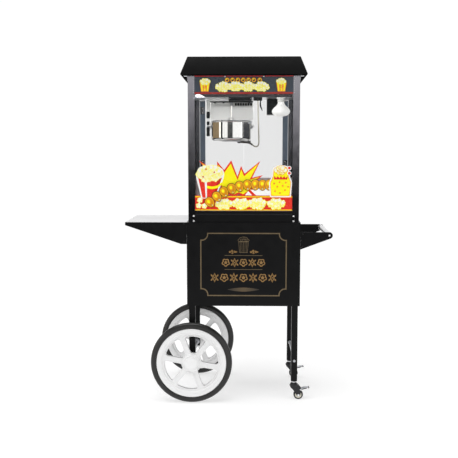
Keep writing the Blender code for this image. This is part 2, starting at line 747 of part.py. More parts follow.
def make_switches():
    """Rocker switches behind the top housing, each rocking on a pin across its middle."""
    pivot_y = MACH_Y - POST_SHEET - GAP + 0.0042
    outline = (
        (0.0040, 0.011),
        (0.0018, 0),
        (0.0040, -0.011),
        (0.0002, -0.011),
        (-0.0032, 0),
        (0.0002, 0.011),
    )
    for x, name in zip(SWITCH_X, ("stir_motor_switch", "kettle_heat_switch", "lamp_switch")):
        bm = bmesh.new()
        ring = [bm.verts.new((x - 0.008, pivot_y + a, SWITCH_Z + b)) for a, b in outline]
        end = bm.faces.new(ring)
        made = bmesh.ops.extrude_face_region(bm, geom=[end])["geom"]
        verts = [g for g in made if isinstance(g, bmesh.types.BMVert)]
        bmesh.ops.translate(bm, verts=verts, vec=(0.016, 0, 0))
        rocker = add(name, bm, "black_plastic", (x, pivot_y, SWITCH_Z))
        rocker.rotation_euler.x = math.radians(-SWITCH_ROCK_DEG / 2)


clear_scene()
make_cabinet()
make_legs()
make_shelf()
make_handle()
make_wheel(-1, "front")
make_wheel(1, "rear")
make_casters()
make_base()
make_crumb_drawer()
make_posts()
make_top()
make_roof()
make_glass()
make_hanger()
make_pot()
make_kettle_handle()
make_lids()
make_stirrer()
make_lead()
make_lamp_and_wiring()
make_switches()
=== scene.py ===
"""Popcorn cart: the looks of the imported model, its floor, lights and camera.

Shapes are drawn in metres from the cabinet's middle, as the solids were, and piece() moves them
into the shared frame. The front is -Y, the shelf is at -X.
"""
import math
import random

import bmesh
import bpy
from mathutils import Matrix, Vector
from mathutils.geometry import interpolate_bezier


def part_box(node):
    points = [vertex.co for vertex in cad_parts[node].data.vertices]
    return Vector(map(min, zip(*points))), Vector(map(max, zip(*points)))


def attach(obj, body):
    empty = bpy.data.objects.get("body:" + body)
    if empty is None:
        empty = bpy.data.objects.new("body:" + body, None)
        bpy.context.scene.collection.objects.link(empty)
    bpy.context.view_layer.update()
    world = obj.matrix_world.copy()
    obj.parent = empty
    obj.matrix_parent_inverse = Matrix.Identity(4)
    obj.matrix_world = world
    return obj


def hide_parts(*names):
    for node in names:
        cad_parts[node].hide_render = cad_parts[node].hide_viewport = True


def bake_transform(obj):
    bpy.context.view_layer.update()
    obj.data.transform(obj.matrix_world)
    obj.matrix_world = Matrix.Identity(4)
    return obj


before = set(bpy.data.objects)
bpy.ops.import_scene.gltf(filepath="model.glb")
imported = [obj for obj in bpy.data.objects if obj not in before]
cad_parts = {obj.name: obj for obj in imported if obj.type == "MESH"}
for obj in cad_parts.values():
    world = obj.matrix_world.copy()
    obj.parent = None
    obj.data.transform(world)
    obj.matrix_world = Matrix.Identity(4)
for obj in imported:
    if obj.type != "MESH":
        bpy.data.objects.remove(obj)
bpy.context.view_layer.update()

MIDDLE_X = sum(corner.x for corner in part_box("cart_top_panel")) / 2
MM = 0.001


def span(node):
    """((x0, x1), (y0, y1), (z0, z1)) of a CAD node, from the cabinet's middle."""
    low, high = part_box(node)
    return (low.x - MIDDLE_X, high.x - MIDDLE_X), (low.y, high.y), (low.z, high.z)


def middle(node):
    return Vector([sum(pair) / 2 for pair in span(node)])


# ---------------------------------------------------------------- materials


def rgb(red, green, blue):
    """An sRGB colour, 0 to 255, as shaders take it."""
    def linear(c):
        c /= 255
        return c / 12.92 if c <= 0.04045 else ((c + 0.055) / 1.055) ** 2.4

    return (linear(red), linear(green), linear(blue), 1)


def lighter(colour, factor):
    return tuple(min(1, c * factor) for c in colour[:3]) + (1,)


def noise(tree, vector, scale, detail=2, stretch=None):
    """Noise over the object's own coordinates; stretch draws it out along an axis."""
    if stretch:
        mapping = tree.nodes.new("ShaderNodeMapping")
        mapping.inputs["Scale"].default_value = stretch
        tree.links.new(vector, mapping.inputs["Vector"])
        vector = mapping.outputs["Vector"]
    made = tree.nodes.new("ShaderNodeTexNoise")
    made.inputs["Scale"].default_value = scale
    made.inputs["Detail"].default_value = detail
    tree.links.new(vector, made.inputs["Vector"])
    return made.outputs["Fac"]


def ramp(tree, value, low, high, to_low, to_high):
    made = tree.nodes.new("ShaderNodeMapRange")
    for socket, number in zip(("From Min", "From Max", "To Min", "To Max"), (low, high, to_low, to_high)):
        made.inputs[socket].default_value = number
    tree.links.new(value, made.inputs["Value"])
    return made.outputs["Result"]


def blend_colours(tree, factor, first, second):
    """first and second are colours, or sockets that give one."""
    made = tree.nodes.new("ShaderNodeMix")
    made.data_type = "RGBA"
    tree.links.new(factor, made.inputs[0])
    for index, colour in ((6, first), (7, second)):
        if isinstance(colour, bpy.types.NodeSocket):
            tree.links.new(colour, made.inputs[index])
        else:
            made.inputs[index].default_value = colour
    return made.outputs[2]


def bump(tree, height, depth, shade):
    made = tree.nodes.new("ShaderNodeBump")
    made.inputs["Strength"].default_value = 1
    made.inputs["Distance"].default_value = depth
    tree.links.new(height, made.inputs["Height"])
    tree.links.new(made.outputs["Normal"], shade.inputs["Normal"])


def surface(name, colour, rough, metal=0.0, tint=0.1, patch=7.0, rough_span=0.05,
            grain=0.0, grain_scale=800.0, stretch=None, **sockets):
    """A finish with slow patches of tint and gloss, and a fine grain that stands grain metres proud."""
    made = bpy.data.materials.new(name)
    made.use_nodes = True
    tree = made.node_tree
    shade = tree.nodes["Principled BSDF"]
    shade.inputs["Metallic"].default_value = metal
    for socket, number in sockets.items():
        shade.inputs[socket.replace("_", " ")].default_value = number
    where = tree.nodes.new("ShaderNodeTexCoord").outputs["Object"]
    cloud = ramp(tree, noise(tree, where, patch, 3), 0.35, 0.65, 0, 1)
    mixed = blend_colours(tree, cloud, lighter(colour, 1 - tint), lighter(colour, 1 + tint))
    tree.links.new(mixed, shade.inputs["Base Color"])
    smudge = noise(tree, where, patch * 4, 3, stretch)
    gloss = ramp(tree, smudge, 0.35, 0.65, max(0.02, rough - rough_span), rough + rough_span)
    tree.links.new(gloss, shade.inputs["Roughness"])
    if grain:
        bump(tree, noise(tree, where, grain_scale, 2, stretch), grain, shade)
    return made


def paint_shade_below(made, low, high, factor):
    """Paints shade on a finish towards the floor: factor times its colour below low, its full colour above
    high.
    """
    tree = made.node_tree
    shade = tree.nodes["Principled BSDF"]
    parts = tree.nodes.new("ShaderNodeSeparateXYZ")
    tree.links.new(tree.nodes.new("ShaderNodeTexCoord").outputs["Object"], parts.inputs["Vector"])
    dim = tree.nodes.new("ShaderNodeMix")
    dim.data_type = "RGBA"
    dim.blend_type = "MULTIPLY"
    tree.links.new(ramp(tree, parts.outputs["Z"], low, high, 1, 0), dim.inputs[0])
    tree.links.new(shade.inputs["Base Color"].links[0].from_socket, dim.inputs[6])
    dim.inputs[7].default_value = (factor, factor, factor, 1)
    tree.links.new(dim.outputs[2], shade.inputs["Base Color"])


def glass_finish(name, colour, alpha, edge_axis=None):
    """Thin clear glass: mostly see-through face on, more mirror-like at a slant, greener on its cut edges."""
    made = surface(name, colour, 0.03, rough_span=0.015, tint=0.03)
    tree = made.node_tree
    shade = tree.nodes["Principled BSDF"]
    slant = tree.nodes.new("ShaderNodeLayerWeight")
    clear = ramp(tree, slant.outputs["Facing"], 0.6, 1, alpha, 0.75)
    if edge_axis is not None:
        normal = tree.nodes.new("ShaderNodeTexCoord").outputs["Normal"]
        parts = tree.nodes.new("ShaderNodeSeparateXYZ")
        tree.links.new(normal, parts.inputs["Vector"])
        size = tree.nodes.new("ShaderNodeMath")
        size.operation = "ABSOLUTE"
        tree.links.new(parts.outputs[edge_axis], size.inputs[0])
        on_edge = ramp(tree, size.outputs["Value"], 0.4, 0.6, 1, 0)
        more = tree.nodes.new("ShaderNodeMath")
        more.operation = "MAXIMUM"
        tree.links.new(clear, more.inputs[0])
        tree.links.new(ramp(tree, on_edge, 0, 1, 0, 0.3), more.inputs[1])
        clear = more.outputs["Value"]
        plain = shade.inputs["Base Color"].links[0].from_socket
        tinted = blend_colours(tree, on_edge, plain, rgb(176, 205, 196))
        tree.links.new(tinted, shade.inputs["Base Color"])
    tree.links.new(clear, shade.inputs["Alpha"])
    return made


def ink(name, colour, tint=0.04):
    """A bright printed film, lit a little from within, to stay as vivid as print on a white ground."""
    return surface(name, colour, 0.26, tint=tint, Emission_Color=colour, Emission_Strength=0.16)


def popcorn_ink(name, base, shadow, scale):
    """Printed popcorn: cream with soft patches of a deeper yellow."""
    made = ink(name, base)
    tree = made.node_tree
    shade = tree.nodes["Principled BSDF"]
    where = tree.nodes.new("ShaderNodeTexCoord").outputs["Object"]
    spots = ramp(tree, noise(tree, where, scale, 3), 0.46, 0.62, 0, 1)
    tree.links.new(blend_colours(tree, spots, base, shadow), shade.inputs["Base Color"])
    return made


def fading_ink(name, colour, ground, reach):
    """Ink that is full in the middle of its bar and fades out towards both ends."""
    made = surface(name, colour, 0.4, tint=0.0)
    tree = made.node_tree
    shade = tree.nodes["Principled BSDF"]
    where = tree.nodes.new("ShaderNodeTexCoord").outputs["Object"]
    parts = tree.nodes.new("ShaderNodeSeparateXYZ")
    tree.links.new(where, parts.inputs["Vector"])
    off = tree.nodes.new("ShaderNodeMath")
    off.operation = "SUBTRACT"
    tree.links.new(parts.outputs["X"], off.inputs[0])
    off.inputs[1].default_value = MIDDLE_X
    size = tree.nodes.new("ShaderNodeMath")
    size.operation = "ABSOLUTE"
    tree.links.new(off.outputs["Value"], size.inputs[0])
    fade = ramp(tree, size.outputs["Value"], reach * 0.1, reach, 0, 1)
    tree.links.new(blend_colours(tree, fade, colour, ground), shade.inputs["Base Color"])
    return made


BLACK = rgb(13, 13, 14)
black_paint = surface("black_powder_coat", BLACK, 0.4, grain=1.2e-5, grain_scale=1100,
                      Specular_IOR_Level=0.14)
roof_paint = surface("matt_black_roof", rgb(14, 14, 14), 0.6, grain=3e-5, grain_scale=900,
                     Specular_IOR_Level=0.13)
# Painted sheen on the black posts: the light grey colour stands in for reflected light at their tops.
post_painted_sheen = surface("black_post_painted_sheen", rgb(150, 148, 154), 0.2, 0.96, tint=0.05, rough_span=0.03,
                     grain=8e-7, grain_scale=1500,
                     Specular_IOR_Level=0.3)
lip_grey = surface("satin_grey_lip", rgb(84, 82, 85), 0.55, 0.0, tint=0.05, grain=8e-7, grain_scale=1500,
                   Specular_IOR_Level=0.2)
# Painted shade: the post finish is darkened to near black towards the floor.
paint_shade_below(post_painted_sheen, 0.92, 1.22, 0.12)
brushed = surface("brushed_stainless", rgb(230, 230, 231), 0.34, 1.0, tint=0.03, grain=1.5e-6,
                  grain_scale=1800, stretch=(0.03, 1, 1))
polished = surface("polished_stainless", rgb(222, 221, 219), 0.07, 1.0, tint=0.03, rough_span=0.03,
                   grain=2e-7,
                   grain_scale=900)
zinc = surface("zinc_plate", rgb(186, 188, 192), 0.32, 1.0, tint=0.08, grain=1.5e-6, grain_scale=1300)
bright_screw = surface("bright_screw_plate", rgb(240, 240, 240), 0.42, 0.5, tint=0.03, grain=1e-6,
                       grain_scale=1500)
chrome = surface("chrome", rgb(228, 229, 231), 0.1, 1.0, tint=0.02, rough_span=0.03)
anodised = surface("blue_grey_anodised", rgb(120, 133, 148), 0.34, 0.7, tint=0.05, grain=2e-6,
                   grain_scale=1500,
                   stretch=(1, 1, 0.03))
white_plastic = surface("white_moulded_plastic", rgb(235, 235, 235), 0.34, tint=0.02, grain=4e-6,
                        grain_scale=900)
tyre_rubber = surface("tyre_rubber", rgb(18, 17, 16), 0.36, tint=0.12, grain=8e-6, grain_scale=700,
                      Specular_IOR_Level=0.5)
caster_rubber = surface("caster_rubber", rgb(36, 36, 37), 0.5, tint=0.12, grain=1e-5, grain_scale=900,
                        Specular_IOR_Level=0.35)
caster_hub = surface("cream_nylon", rgb(226, 222, 208), 0.4, tint=0.04, grain=3e-6)
caster_steel = surface("dark_pressed_steel", rgb(44, 45, 47), 0.34, 0.6, grain=4e-6, grain_scale=1200)
black_plastic = surface("black_moulded_plastic", rgb(17, 17, 18), 0.34, grain=5e-6, grain_scale=1400,
                        Specular_IOR_Level=0.3)
# Painted shade: a near-black fill put in slots and recesses where there is only shade.
painted_shade_fill = surface("painted_recess_shade", rgb(9, 9, 10), 0.8)
sheet_white = surface("white_enamel_sheet", rgb(236, 236, 233), 0.35, tint=0.03, grain=3e-6, grain_scale=700)
slate = surface("sign_slate_print", rgb(56, 65, 77), 0.28, tint=0.12, grain=3e-6, Specular_IOR_Level=0.5)
ceramic = surface("white_ceramic", rgb(226, 226, 222), 0.25, tint=0.03)
frosted = surface("frosted_lamp_glass", rgb(240, 241, 238), 0.32, tint=0.02, grain=6e-6, grain_scale=1200,
                  Subsurface_Weight=0.3, Subsurface_Radius=(0.01, 0.01, 0.01),
                  Emission_Color=(1, 1, 0.98, 1), Emission_Strength=0.3)
boot_rubber = surface("dark_grey_boot", rgb(88, 87, 84), 0.45, tint=0.08, grain=1e-5, grain_scale=900)
cord_rubber = surface("grey_cream_cord", rgb(190, 186, 174), 0.45, tint=0.06, grain=1e-5, grain_scale=900)
GLASS_TINT = rgb(74, 84, 86)
front_pane = glass_finish("front_pane", GLASS_TINT, 0.05, "Y")
side_pane = glass_finish("side_pane", GLASS_TINT, 0.06, "X")
door_pane = glass_finish("door_pane", GLASS_TINT, 0.08, "Y")
red_ink = ink("red_ink", rgb(226, 50, 34), 0.05)
deep_red_ink = ink("deep_red_ink", rgb(196, 34, 26), 0.05)
orange_ink = ink("orange_ink", rgb(246, 150, 40), 0.05)
yellow_ink = ink("yellow_ink", rgb(254, 244, 16), 0.03)
gold_ink = ink("golden_orange_ink", rgb(234, 166, 26), 0.08)
amber_ink = ink("amber_ink", rgb(212, 138, 20), 0.08)
olive_ink = surface("olive_brown_ink", rgb(104, 76, 8), 0.3, tint=0.08)
white_ink = ink("white_ink", rgb(246, 246, 244), 0.02)
brown_ink = surface("brown_ink", rgb(74, 40, 14), 0.3, tint=0.08)
cream_ink = popcorn_ink("popcorn_cream_ink", rgb(254, 253, 206), rgb(252, 246, 104), 90)
butter_ink = popcorn_ink("popcorn_butter_ink", rgb(246, 240, 140), rgb(242, 222, 84), 110)
lemon_ink = popcorn_ink("popcorn_lemon_ink", rgb(252, 244, 50), rgb(240, 224, 34), 110)
speck_ink = ink("browned_speck_ink", rgb(222, 190, 60), 0.08)
gold_print = surface("bronze_gold_print", rgb(150, 116, 68), 0.4, 0.35, tint=0.12, patch=40, grain=3e-6,
                     grain_scale=1300)
pale_gold = surface("pale_gold_print", rgb(110, 94, 68), 0.42, 0.3, tint=0.1, patch=30, grain=3e-6,
                    grain_scale=1300)
fading_gold = fading_ink("fading_gold_print", rgb(86, 70, 46), BLACK, 0.078)

SLOTS = {
    "zinc_steel": (zinc, chrome, bright_screw),
    "stainless": (brushed, polished, sheet_white, anodised),
    "black_plastic": (black_plastic,),
    "white_plastic": (white_plastic, caster_hub, ceramic),
    "tyre_rubber": (tyre_rubber,),
    "black_paint": (caster_steel, post_painted_sheen, black_paint, lip_grey),
    "caster_rubber": (caster_rubber,),
    "roof_paint": (roof_paint,),
    "cord_rubber": (boot_rubber,),
    "lamp_glass": (frosted,),
}
SLOT_OF = {finish.name: slot for slot, finishes in SLOTS.items() for finish in finishes}

# ---------------------------------------------------------------- shapes


def soften(obj, width, segments=2, angle=35):
    edge = obj.modifiers.new("soft_edge", "BEVEL")
    edge.width = width
    edge.segments = segments
    edge.limit_method = "ANGLE"
    edge.angle_limit = math.radians(angle)
    edge.harden_normals = True


def piece(name, bm, finish, body, bevel=0.0, segments=2, angle=35, stands_for=(), paint=None):
    """Makes an object from a bmesh drawn from the cabinet's middle, riding on a body.

    It takes its finish's usual slot, unless paint names another.
    """
    paint = paint or SLOT_OF.get(finish.name)
    bmesh.ops.recalc_face_normals(bm, faces=bm.faces)
    bmesh.ops.translate(bm, verts=bm.verts, vec=(MIDDLE_X, 0, 0))
    mesh = bpy.data.meshes.new(name)
    bm.to_mesh(mesh)
    bm.free()
    mesh.shade_smooth()
    mesh.set_sharp_from_angle(angle=math.radians(angle))
    mesh.materials.append(finish)
    obj = bpy.data.objects.new(name, mesh)
    bpy.context.scene.collection.objects.link(obj)
    if bevel:
        soften(obj, bevel, segments, angle)
    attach(obj, body)
    if stands_for:
        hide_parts(*stands_for)
    return obj


def paint_node(node, finish, bevel=0.0, segments=2):
    """Gives a CAD node that stays its finish and, where it is sharp, softly broken edges."""
    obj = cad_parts[node]
    if not obj.material_slots:
        obj.data.materials.append(finish)
    for held in obj.material_slots:
        held.material = finish
    if bevel:
        soften(obj, bevel, segments)


def block(bm, x, y, z):
    size = Vector((x[1] - x[0], y[1] - y[0], z[1] - z[0]))
    centre = Vector((x[0] + x[1], y[0] + y[1], z[0] + z[1])) / 2
    bmesh.ops.create_cube(bm, size=1, matrix=Matrix.Translation(centre) @ Matrix.Diagonal((*size, 1)))


def spot(across, a, b, level):
    """The point (a, b) of a flat drawing made across an axis, at a level along it."""
    return {"X": (level, a, b), "Y": (a, level, b), "Z": (a, b, level)}[across]


def plate(bm, loops, across, low, high):
    """Extrudes a flat drawing; loops after the first are holes in it."""
    edges = []
    for loop in loops:
        ring = [bm.verts.new(spot(across, a, b, low)) for a, b in loop]
        if len(loops) > 1:
            edges += [bm.edges.new((ring[i - 1], ring[i])) for i in range(len(ring))]
    if len(loops) == 1:
        faces = [bm.faces.new(ring)]
    else:
        normal = spot(across, 0, 0, 1)
        made = bmesh.ops.triangle_fill(bm, use_beauty=True, use_dissolve=False, edges=edges, normal=normal)
        faces = [item for item in made["geom"] if isinstance(item, bmesh.types.BMFace)]
    made = bmesh.ops.extrude_face_region(bm, geom=faces)["geom"]
    verts = [item for item in made if isinstance(item, bmesh.types.BMVert)]
    bmesh.ops.translate(bm, verts=verts, vec=spot(across, 0, 0, high - low))


AXES = {"X": Vector((1, 0, 0)), "Y": Vector((0, 1, 0)), "Z": Vector((0, 0, 1))}


def turned(bm, profile, centre, axis="Z", segments=48, start=0.0):
    """Revolves (radius, distance along axis) points about a line through centre."""
    centre = Vector(centre)
    axis = AXES[axis] if isinstance(axis, str) else Vector(axis).normalized()
    side = axis.orthogonal().normalized()
    other = axis.cross(side)
    rings = []
    for radius, along in profile:
        if radius < 1e-7:
            rings.append([bm.verts.new(centre + axis * along)])
            continue
        ring = []
        for i in range(segments):
            angle = start + math.tau * i / segments
            outward = side * math.cos(angle) + other * math.sin(angle)
            ring.append(bm.verts.new(centre + axis * along + outward * radius))
        rings.append(ring)
    pairs = list(zip(rings, rings[1:]))
    if len(rings[0]) > 1 and len(rings[-1]) > 1:
        pairs.append((rings[-1], rings[0]))
    for first, second in pairs:
        for i in range(segments):
            j = (i + 1) % segments
            corners = [first[i % len(first)], first[j % len(first)], second[j % len(second)],
                       second[i % len(second)]]
            distinct = list(dict.fromkeys(corners))
            if len(distinct) > 2:
                bm.faces.new(distinct)


def rod(bm, start, end, radius, segments=24, chamfer=0.0):
    start = Vector(start)
    end = Vector(end)
    length = (end - start).length
    c = min(chamfer, radius * 0.5)
    profile = [(0, 0), (radius - c, 0), (radius, c), (radius, length - c), (radius - c, length), (0, length)]
    if not c:
        profile = [(0, 0), (radius, 0), (radius, length), (0, length)]
    turned(bm, profile, start, (end - start) / length, segments)


def sweep(bm, points, radius, sides=12):
    """A round tube along points, with flat ends; radius may be one number or one for each point."""
    points = [Vector(p) for p in points]
    radii = radius if isinstance(radius, (list, tuple)) else [radius] * len(points)
    heading = (points[1] - points[0]).normalized()
    side = heading.orthogonal().normalized()
    rings = []
    for i, point in enumerate(points):
        before = points[max(i - 1, 0)]
        after = points[min(i + 1, len(points) - 1)]
        new_heading = (after - before).normalized()
        side = (heading.rotation_difference(new_heading) @ side).normalized()
        heading = new_heading
        other = heading.cross(side)
        ring = []
        for k in range(sides):
            angle = math.tau * k / sides
            ring.append(bm.verts.new(point + (side * math.cos(angle) + other * math.sin(angle)) * radii[i]))
        rings.append(ring)
    for first, second in zip(rings, rings[1:]):
        for k in range(sides):
            j = (k + 1) % sides
            bm.faces.new((first[k], first[j], second[j], second[k]))
    bm.faces.new(rings[0])
    bm.faces.new(rings[-1])


def arc(centre, radius, start_deg, end_deg, steps):
    step = (end_deg - start_deg) / steps
    angles = [math.radians(start_deg + step * i) for i in range(steps + 1)]
    return [(centre[0] + radius * math.cos(a), centre[1] + radius * math.sin(a)) for a in angles]


def circle(centre, radius, steps=24):
    return arc(centre, radius, 0, 360, steps)[:-1]


def rounded(a, b, radius, steps=4):
    """A rectangle between the pairs a and b with round corners."""
    corners = ((a[1], b[1], 0), (a[0], b[1], 90), (a[0], b[0], 180), (a[1], b[0], 270))
    outline = []
    for (x, y, turn), sx, sy in zip(corners, (-1, 1, 1, -1), (-1, -1, 1, 1)):
        outline += arc((x + sx * radius, y + sy * radius), radius, turn, turn + 90, steps)
    return outline


def round_corners(points, radius, steps=4):
    """The closed outline through points with each corner rounded, as far as its sides allow."""
    outline = []
    for i, point in enumerate(points):
        here = Vector(point)
        back = Vector(points[i - 1]) - here
        ahead = Vector(points[(i + 1) % len(points)]) - here
        reach = min(radius, back.length * 0.45, ahead.length * 0.45)
        start = here + back.normalized() * reach
        end = here + ahead.normalized() * reach
        for k in range(steps + 1):
            t = k / steps
            outline.append(tuple(start * (1 - t) ** 2 + here * 2 * t * (1 - t) + end * t * t))
    return outline


def offset(points, distance):
    """The closed outline moved sideways by distance, to the right of its direction of travel."""
    moved = []
    for i, point in enumerate(points):
        here = Vector(point)
        into = (here - Vector(points[i - 1])).normalized()
        out = (Vector(points[(i + 1) % len(points)]) - here).normalized()
        normals = [Vector((d.y, -d.x)) for d in (into, out)]
        mitre = (normals[0] + normals[1]).normalized()
        moved.append(tuple(here + mitre * distance / max(0.5, mitre.dot(normals[0]))))
    return moved


def ribbon(points, width):
    """The outline of an open line of that width."""
    sides = ([], [])
    for i, point in enumerate(points):
        here = Vector(point)
        before = Vector(points[max(i - 1, 0)])
        after = Vector(points[min(i + 1, len(points) - 1)])
        ways = [w.normalized() for w in (here - before, after - here) if w.length > 1e-9]
        mitre = sum(((Vector((-w.y, w.x))) for w in ways), Vector((0, 0))).normalized()
        stretch = max(0.4, mitre.dot(Vector((-ways[0].y, ways[0].x))))
        for side, sign in zip(sides, (1, -1)):
            side.append(tuple(here + mitre * sign * width / 2 / stretch))
    return sides[0] + sides[1][::-1]


def screw(bm, centre, out, radius=0.0036, height=0.0022):
    """A pan-head screw with a driving recess, seated at centre and facing out."""
    profile = [(0, 0.45), (0.24, 0.5), (0.34, 0.98), (0.7, 0.92), (0.93, 0.6), (1, 0.25), (1, -0.3),
               (0, -0.3)]
    turned(bm, [(r * radius, h * height) for r, h in profile], centre, out, 20)


def hex_nut(bm, centre, out, radius, height):
    turned(bm, [(0, 0), (radius * 0.96, 0), (radius, height * 0.15), (radius, height * 0.85),
                (radius * 0.9, height), (0, height)], centre, out, 6)
    turned(bm, [(0, 0), (radius * 0.5, 0), (radius * 0.5, height * 1.35), (radius * 0.42, height * 1.5),
                (0, height * 1.5)], centre, out, 20)

# ---------------------------------------------------------------- cart cabinet

CAB_X, CAB_Y, CAB_Z = span("cart_front_panel")[0], span("cart_top_panel")[1], span("cart_front_panel")[2]
FRONT = CAB_Y[0]


def make_cabinet():
    for node in ("cart_front_panel", "cart_left_panel", "cart_right_panel", "cart_floor_panel",
                 "cart_top_panel",
                 "cart_rear_door", "side_shelf_bracket_front", "side_shelf_bracket_rear",
                 "handle_bracket_front",
                 "handle_bracket_rear"):
        paint_node(node, black_paint, 0.0005)
    for end in ("front", "rear"):
        for hand in ("left", "right"):
            paint_node(f"leg_{end}_{hand}", black_paint, 0.0006)
    paint_node("side_shelf_top", brushed, 0.0005)
    paint_node("leg_crossbar", zinc)
    paint_node("wheel_axle", zinc)
    paint_node("push_handle", brushed)


def make_rear_door_fittings():
    """Hinge knuckles, a recessed pull, a cam lock and rows of vent slots on the cart's rear door."""
    (x0, x1), (_, back), (z0, z1) = span("cart_rear_door")
    hinges = bmesh.new()
    for z in (z0 + 0.06, z1 - 0.06):
        rod(hinges, (x0 + 0.003, back - 0.0002, z - 0.022), (x0 + 0.003, back - 0.0002, z + 0.022), 0.003,
            16, 0.0004)
        plate(hinges, [rounded((x0 + 0.004, x0 + 0.026), (z - 0.02, z + 0.02), 0.003)], "Y", back,
              back + 0.0012)
        for dz in (-0.012, 0.012):
            screw(hinges, (x0 + 0.017, back + 0.0012, z + dz), "Y", 0.0028, 0.0014)
    piece("rear_door_hinges", hinges, zinc, "cart_rear_door")
    pull = bmesh.new()
    x = x1 - 0.035
    route = [(x, back, 0.575), (x, back + 0.012, 0.578), (x, back + 0.02, 0.588), (x, back + 0.022, 0.606),
             (x, back + 0.022, 0.654), (x, back + 0.02, 0.672), (x, back + 0.012, 0.682), (x, back, 0.685)]
    sweep(pull, route, 0.0045, 14)
    for z in (0.575, 0.685):
        turned(pull, [(0, 0), (0.009, 0), (0.009, 0.0016), (0.006, 0.003), (0, 0.003)], (x, back, z),
               "Y", 24)
    piece("rear_door_pull", pull, brushed, "cart_rear_door", angle=50)
    lock = bmesh.new()
    turned(lock, [(0, 0), (0.01, 0), (0.01, 0.0022), (0.0085, 0.0034), (0.007, 0.0034), (0.0066, 0.0028),
                  (0, 0.0028)], (x, back, 0.722), "Y", 32)
    piece("rear_door_lock", lock, chrome, "cart_rear_door")
    # Painted shade: a dark film stands in for the shaded slot of the keyway.
    keyway = bmesh.new()
    plate(keyway, [rounded((x - 0.0006, x + 0.0006), (0.719, 0.725), 0.0005, 2)], "Y", back + 0.0027,
          back + 0.0029)
    piece("rear_door_keyway_shade", keyway, painted_shade_fill, "cart_rear_door")
    for row, z in enumerate((0.752, 0.764, 0.776)):
        slats = bmesh.new()
        for k in range(7):
            low = -0.168 + k * 0.048
            hood = [(back, z - 0.003), (back + 0.003, z - 0.0022), (back + 0.0032, z - 0.0016),
                    (back, z + 0.003)]
            plate(slats, [hood], "X", low, low + 0.036)
        piece(f"rear_door_louvres_{row}", slats, black_paint, "cart_rear_door", 0.0004)


def make_cabinet_fixings():
    """Screws that hold the cabinet, its shelf and its handle brackets."""
    heads = bmesh.new()
    for z in (0.815, 0.735):
        screw(heads, (CAB_X[0] - 0.012, FRONT, z), (0, -1, 0), 0.003, 0.0016)
        screw(heads, (CAB_X[0] - 0.012, CAB_Y[1], z), (0, 1, 0), 0.003, 0.0016)
    for side in (-1, 1):
        for z in (0.77, 0.715):
            screw(heads, (CAB_X[1] + 0.01, side * CAB_Y[1], z), (0, side, 0), 0.0034, 0.0018)
    for x in CAB_X:
        side = math.copysign(1, x)
        for y in (-0.15, 0.15):
            for z in (CAB_Z[0] + 0.02, CAB_Z[0] + 0.055):
                screw(heads, (x, y, z), (side, 0, 0), 0.0034, 0.0018)
    piece("cabinet_screws", heads, black_plastic, "cart")


def make_handle_ends():
    """Steel end bushes that seat the push handle's tube in its two brackets, and the bolts that hold it."""
    (_, _), (y0, y1), _ = span("push_handle")
    grip = middle("push_handle")
    ends = bmesh.new()
    for y, side in ((y0, 1), (y1, -1)):
        turned(ends, [(0.01, 0.0002), (0.0146, 0.0002), (0.0146, 0.004), (0.0134, 0.0056),
                      (0.0127, 0.0056),
                      (0.0127, 0.004), (0.01, 0.004)], (grip.x, y, grip.z), (0, side, 0), 36)
    piece("handle_end_bushes", ends, brushed, "cart")
    bolts = bmesh.new()
    for side in (-1, 1):
        turned(bolts, [(0, 0.003), (0.0022, 0.0028), (0.004, 0.0018), (0.0046, 0.0005), (0.0046, 0),
                       (0, 0)],
               (grip.x, side * CAB_Y[1], grip.z), (0, side, 0), 28)
    piece("handle_bolts", bolts, bright_screw, "cart")


# ---------------------------------------------------------------- running gear


def wheel_opening(middle_deg, spoke_half, inner, outer):
    """The rounded outline of one gap between two spokes, as (x, z) from the hub."""
    def edge_point(radius, side):
        swing = math.degrees(math.asin(spoke_half / radius))
        angle = math.radians(middle_deg + side * (30 - swing))
        return (radius * math.cos(angle), radius * math.sin(angle))

    rim_side = [edge_point(outer, 1)]
    swing = 30 - math.degrees(math.asin(spoke_half / outer))
    rim_side += arc((0, 0), outer, middle_deg + swing, middle_deg - swing, 8)[1:]
    hub_swing = 30 - math.degrees(math.asin(spoke_half / inner))
    hub_side = arc((0, 0), inner, middle_deg - hub_swing, middle_deg + hub_swing, 4)
    return rim_side, hub_side


def opening_outline(middle_deg, spoke_half, inner, outer, corner):
    """The gap as one closed line whose four corners are rounded."""
    rim_side, hub_side = wheel_opening(middle_deg, spoke_half, inner, outer)
    outline = []
    points = rim_side[1:-1]
    ends = (hub_side[-1], rim_side[0], points[0])
    outline += corner_curve(*ends, corner)
    outline += points[1:-1]
    outline += corner_curve(points[-1], rim_side[-1], hub_side[0], corner)
    outline += corner_curve(rim_side[-1], hub_side[0], hub_side[1], corner * 0.8)
    outline += hub_side[2:-2]
    outline += corner_curve(hub_side[-2], hub_side[-1], rim_side[0], corner * 0.8)
    return outline


def corner_curve(before, here, after, radius, steps=6):
    here = Vector(here)
    back = Vector(before) - here
    ahead = Vector(after) - here
    start = here + back.normalized() * min(radius, back.length * 0.9)
    end = here + ahead.normalized() * min(radius, ahead.length * 0.9)
    curve = []
    for k in range(steps + 1):
        t = k / steps
        curve.append(tuple(start * (1 - t) ** 2 + here * 2 * t * (1 - t) + end * t * t))
    return curve


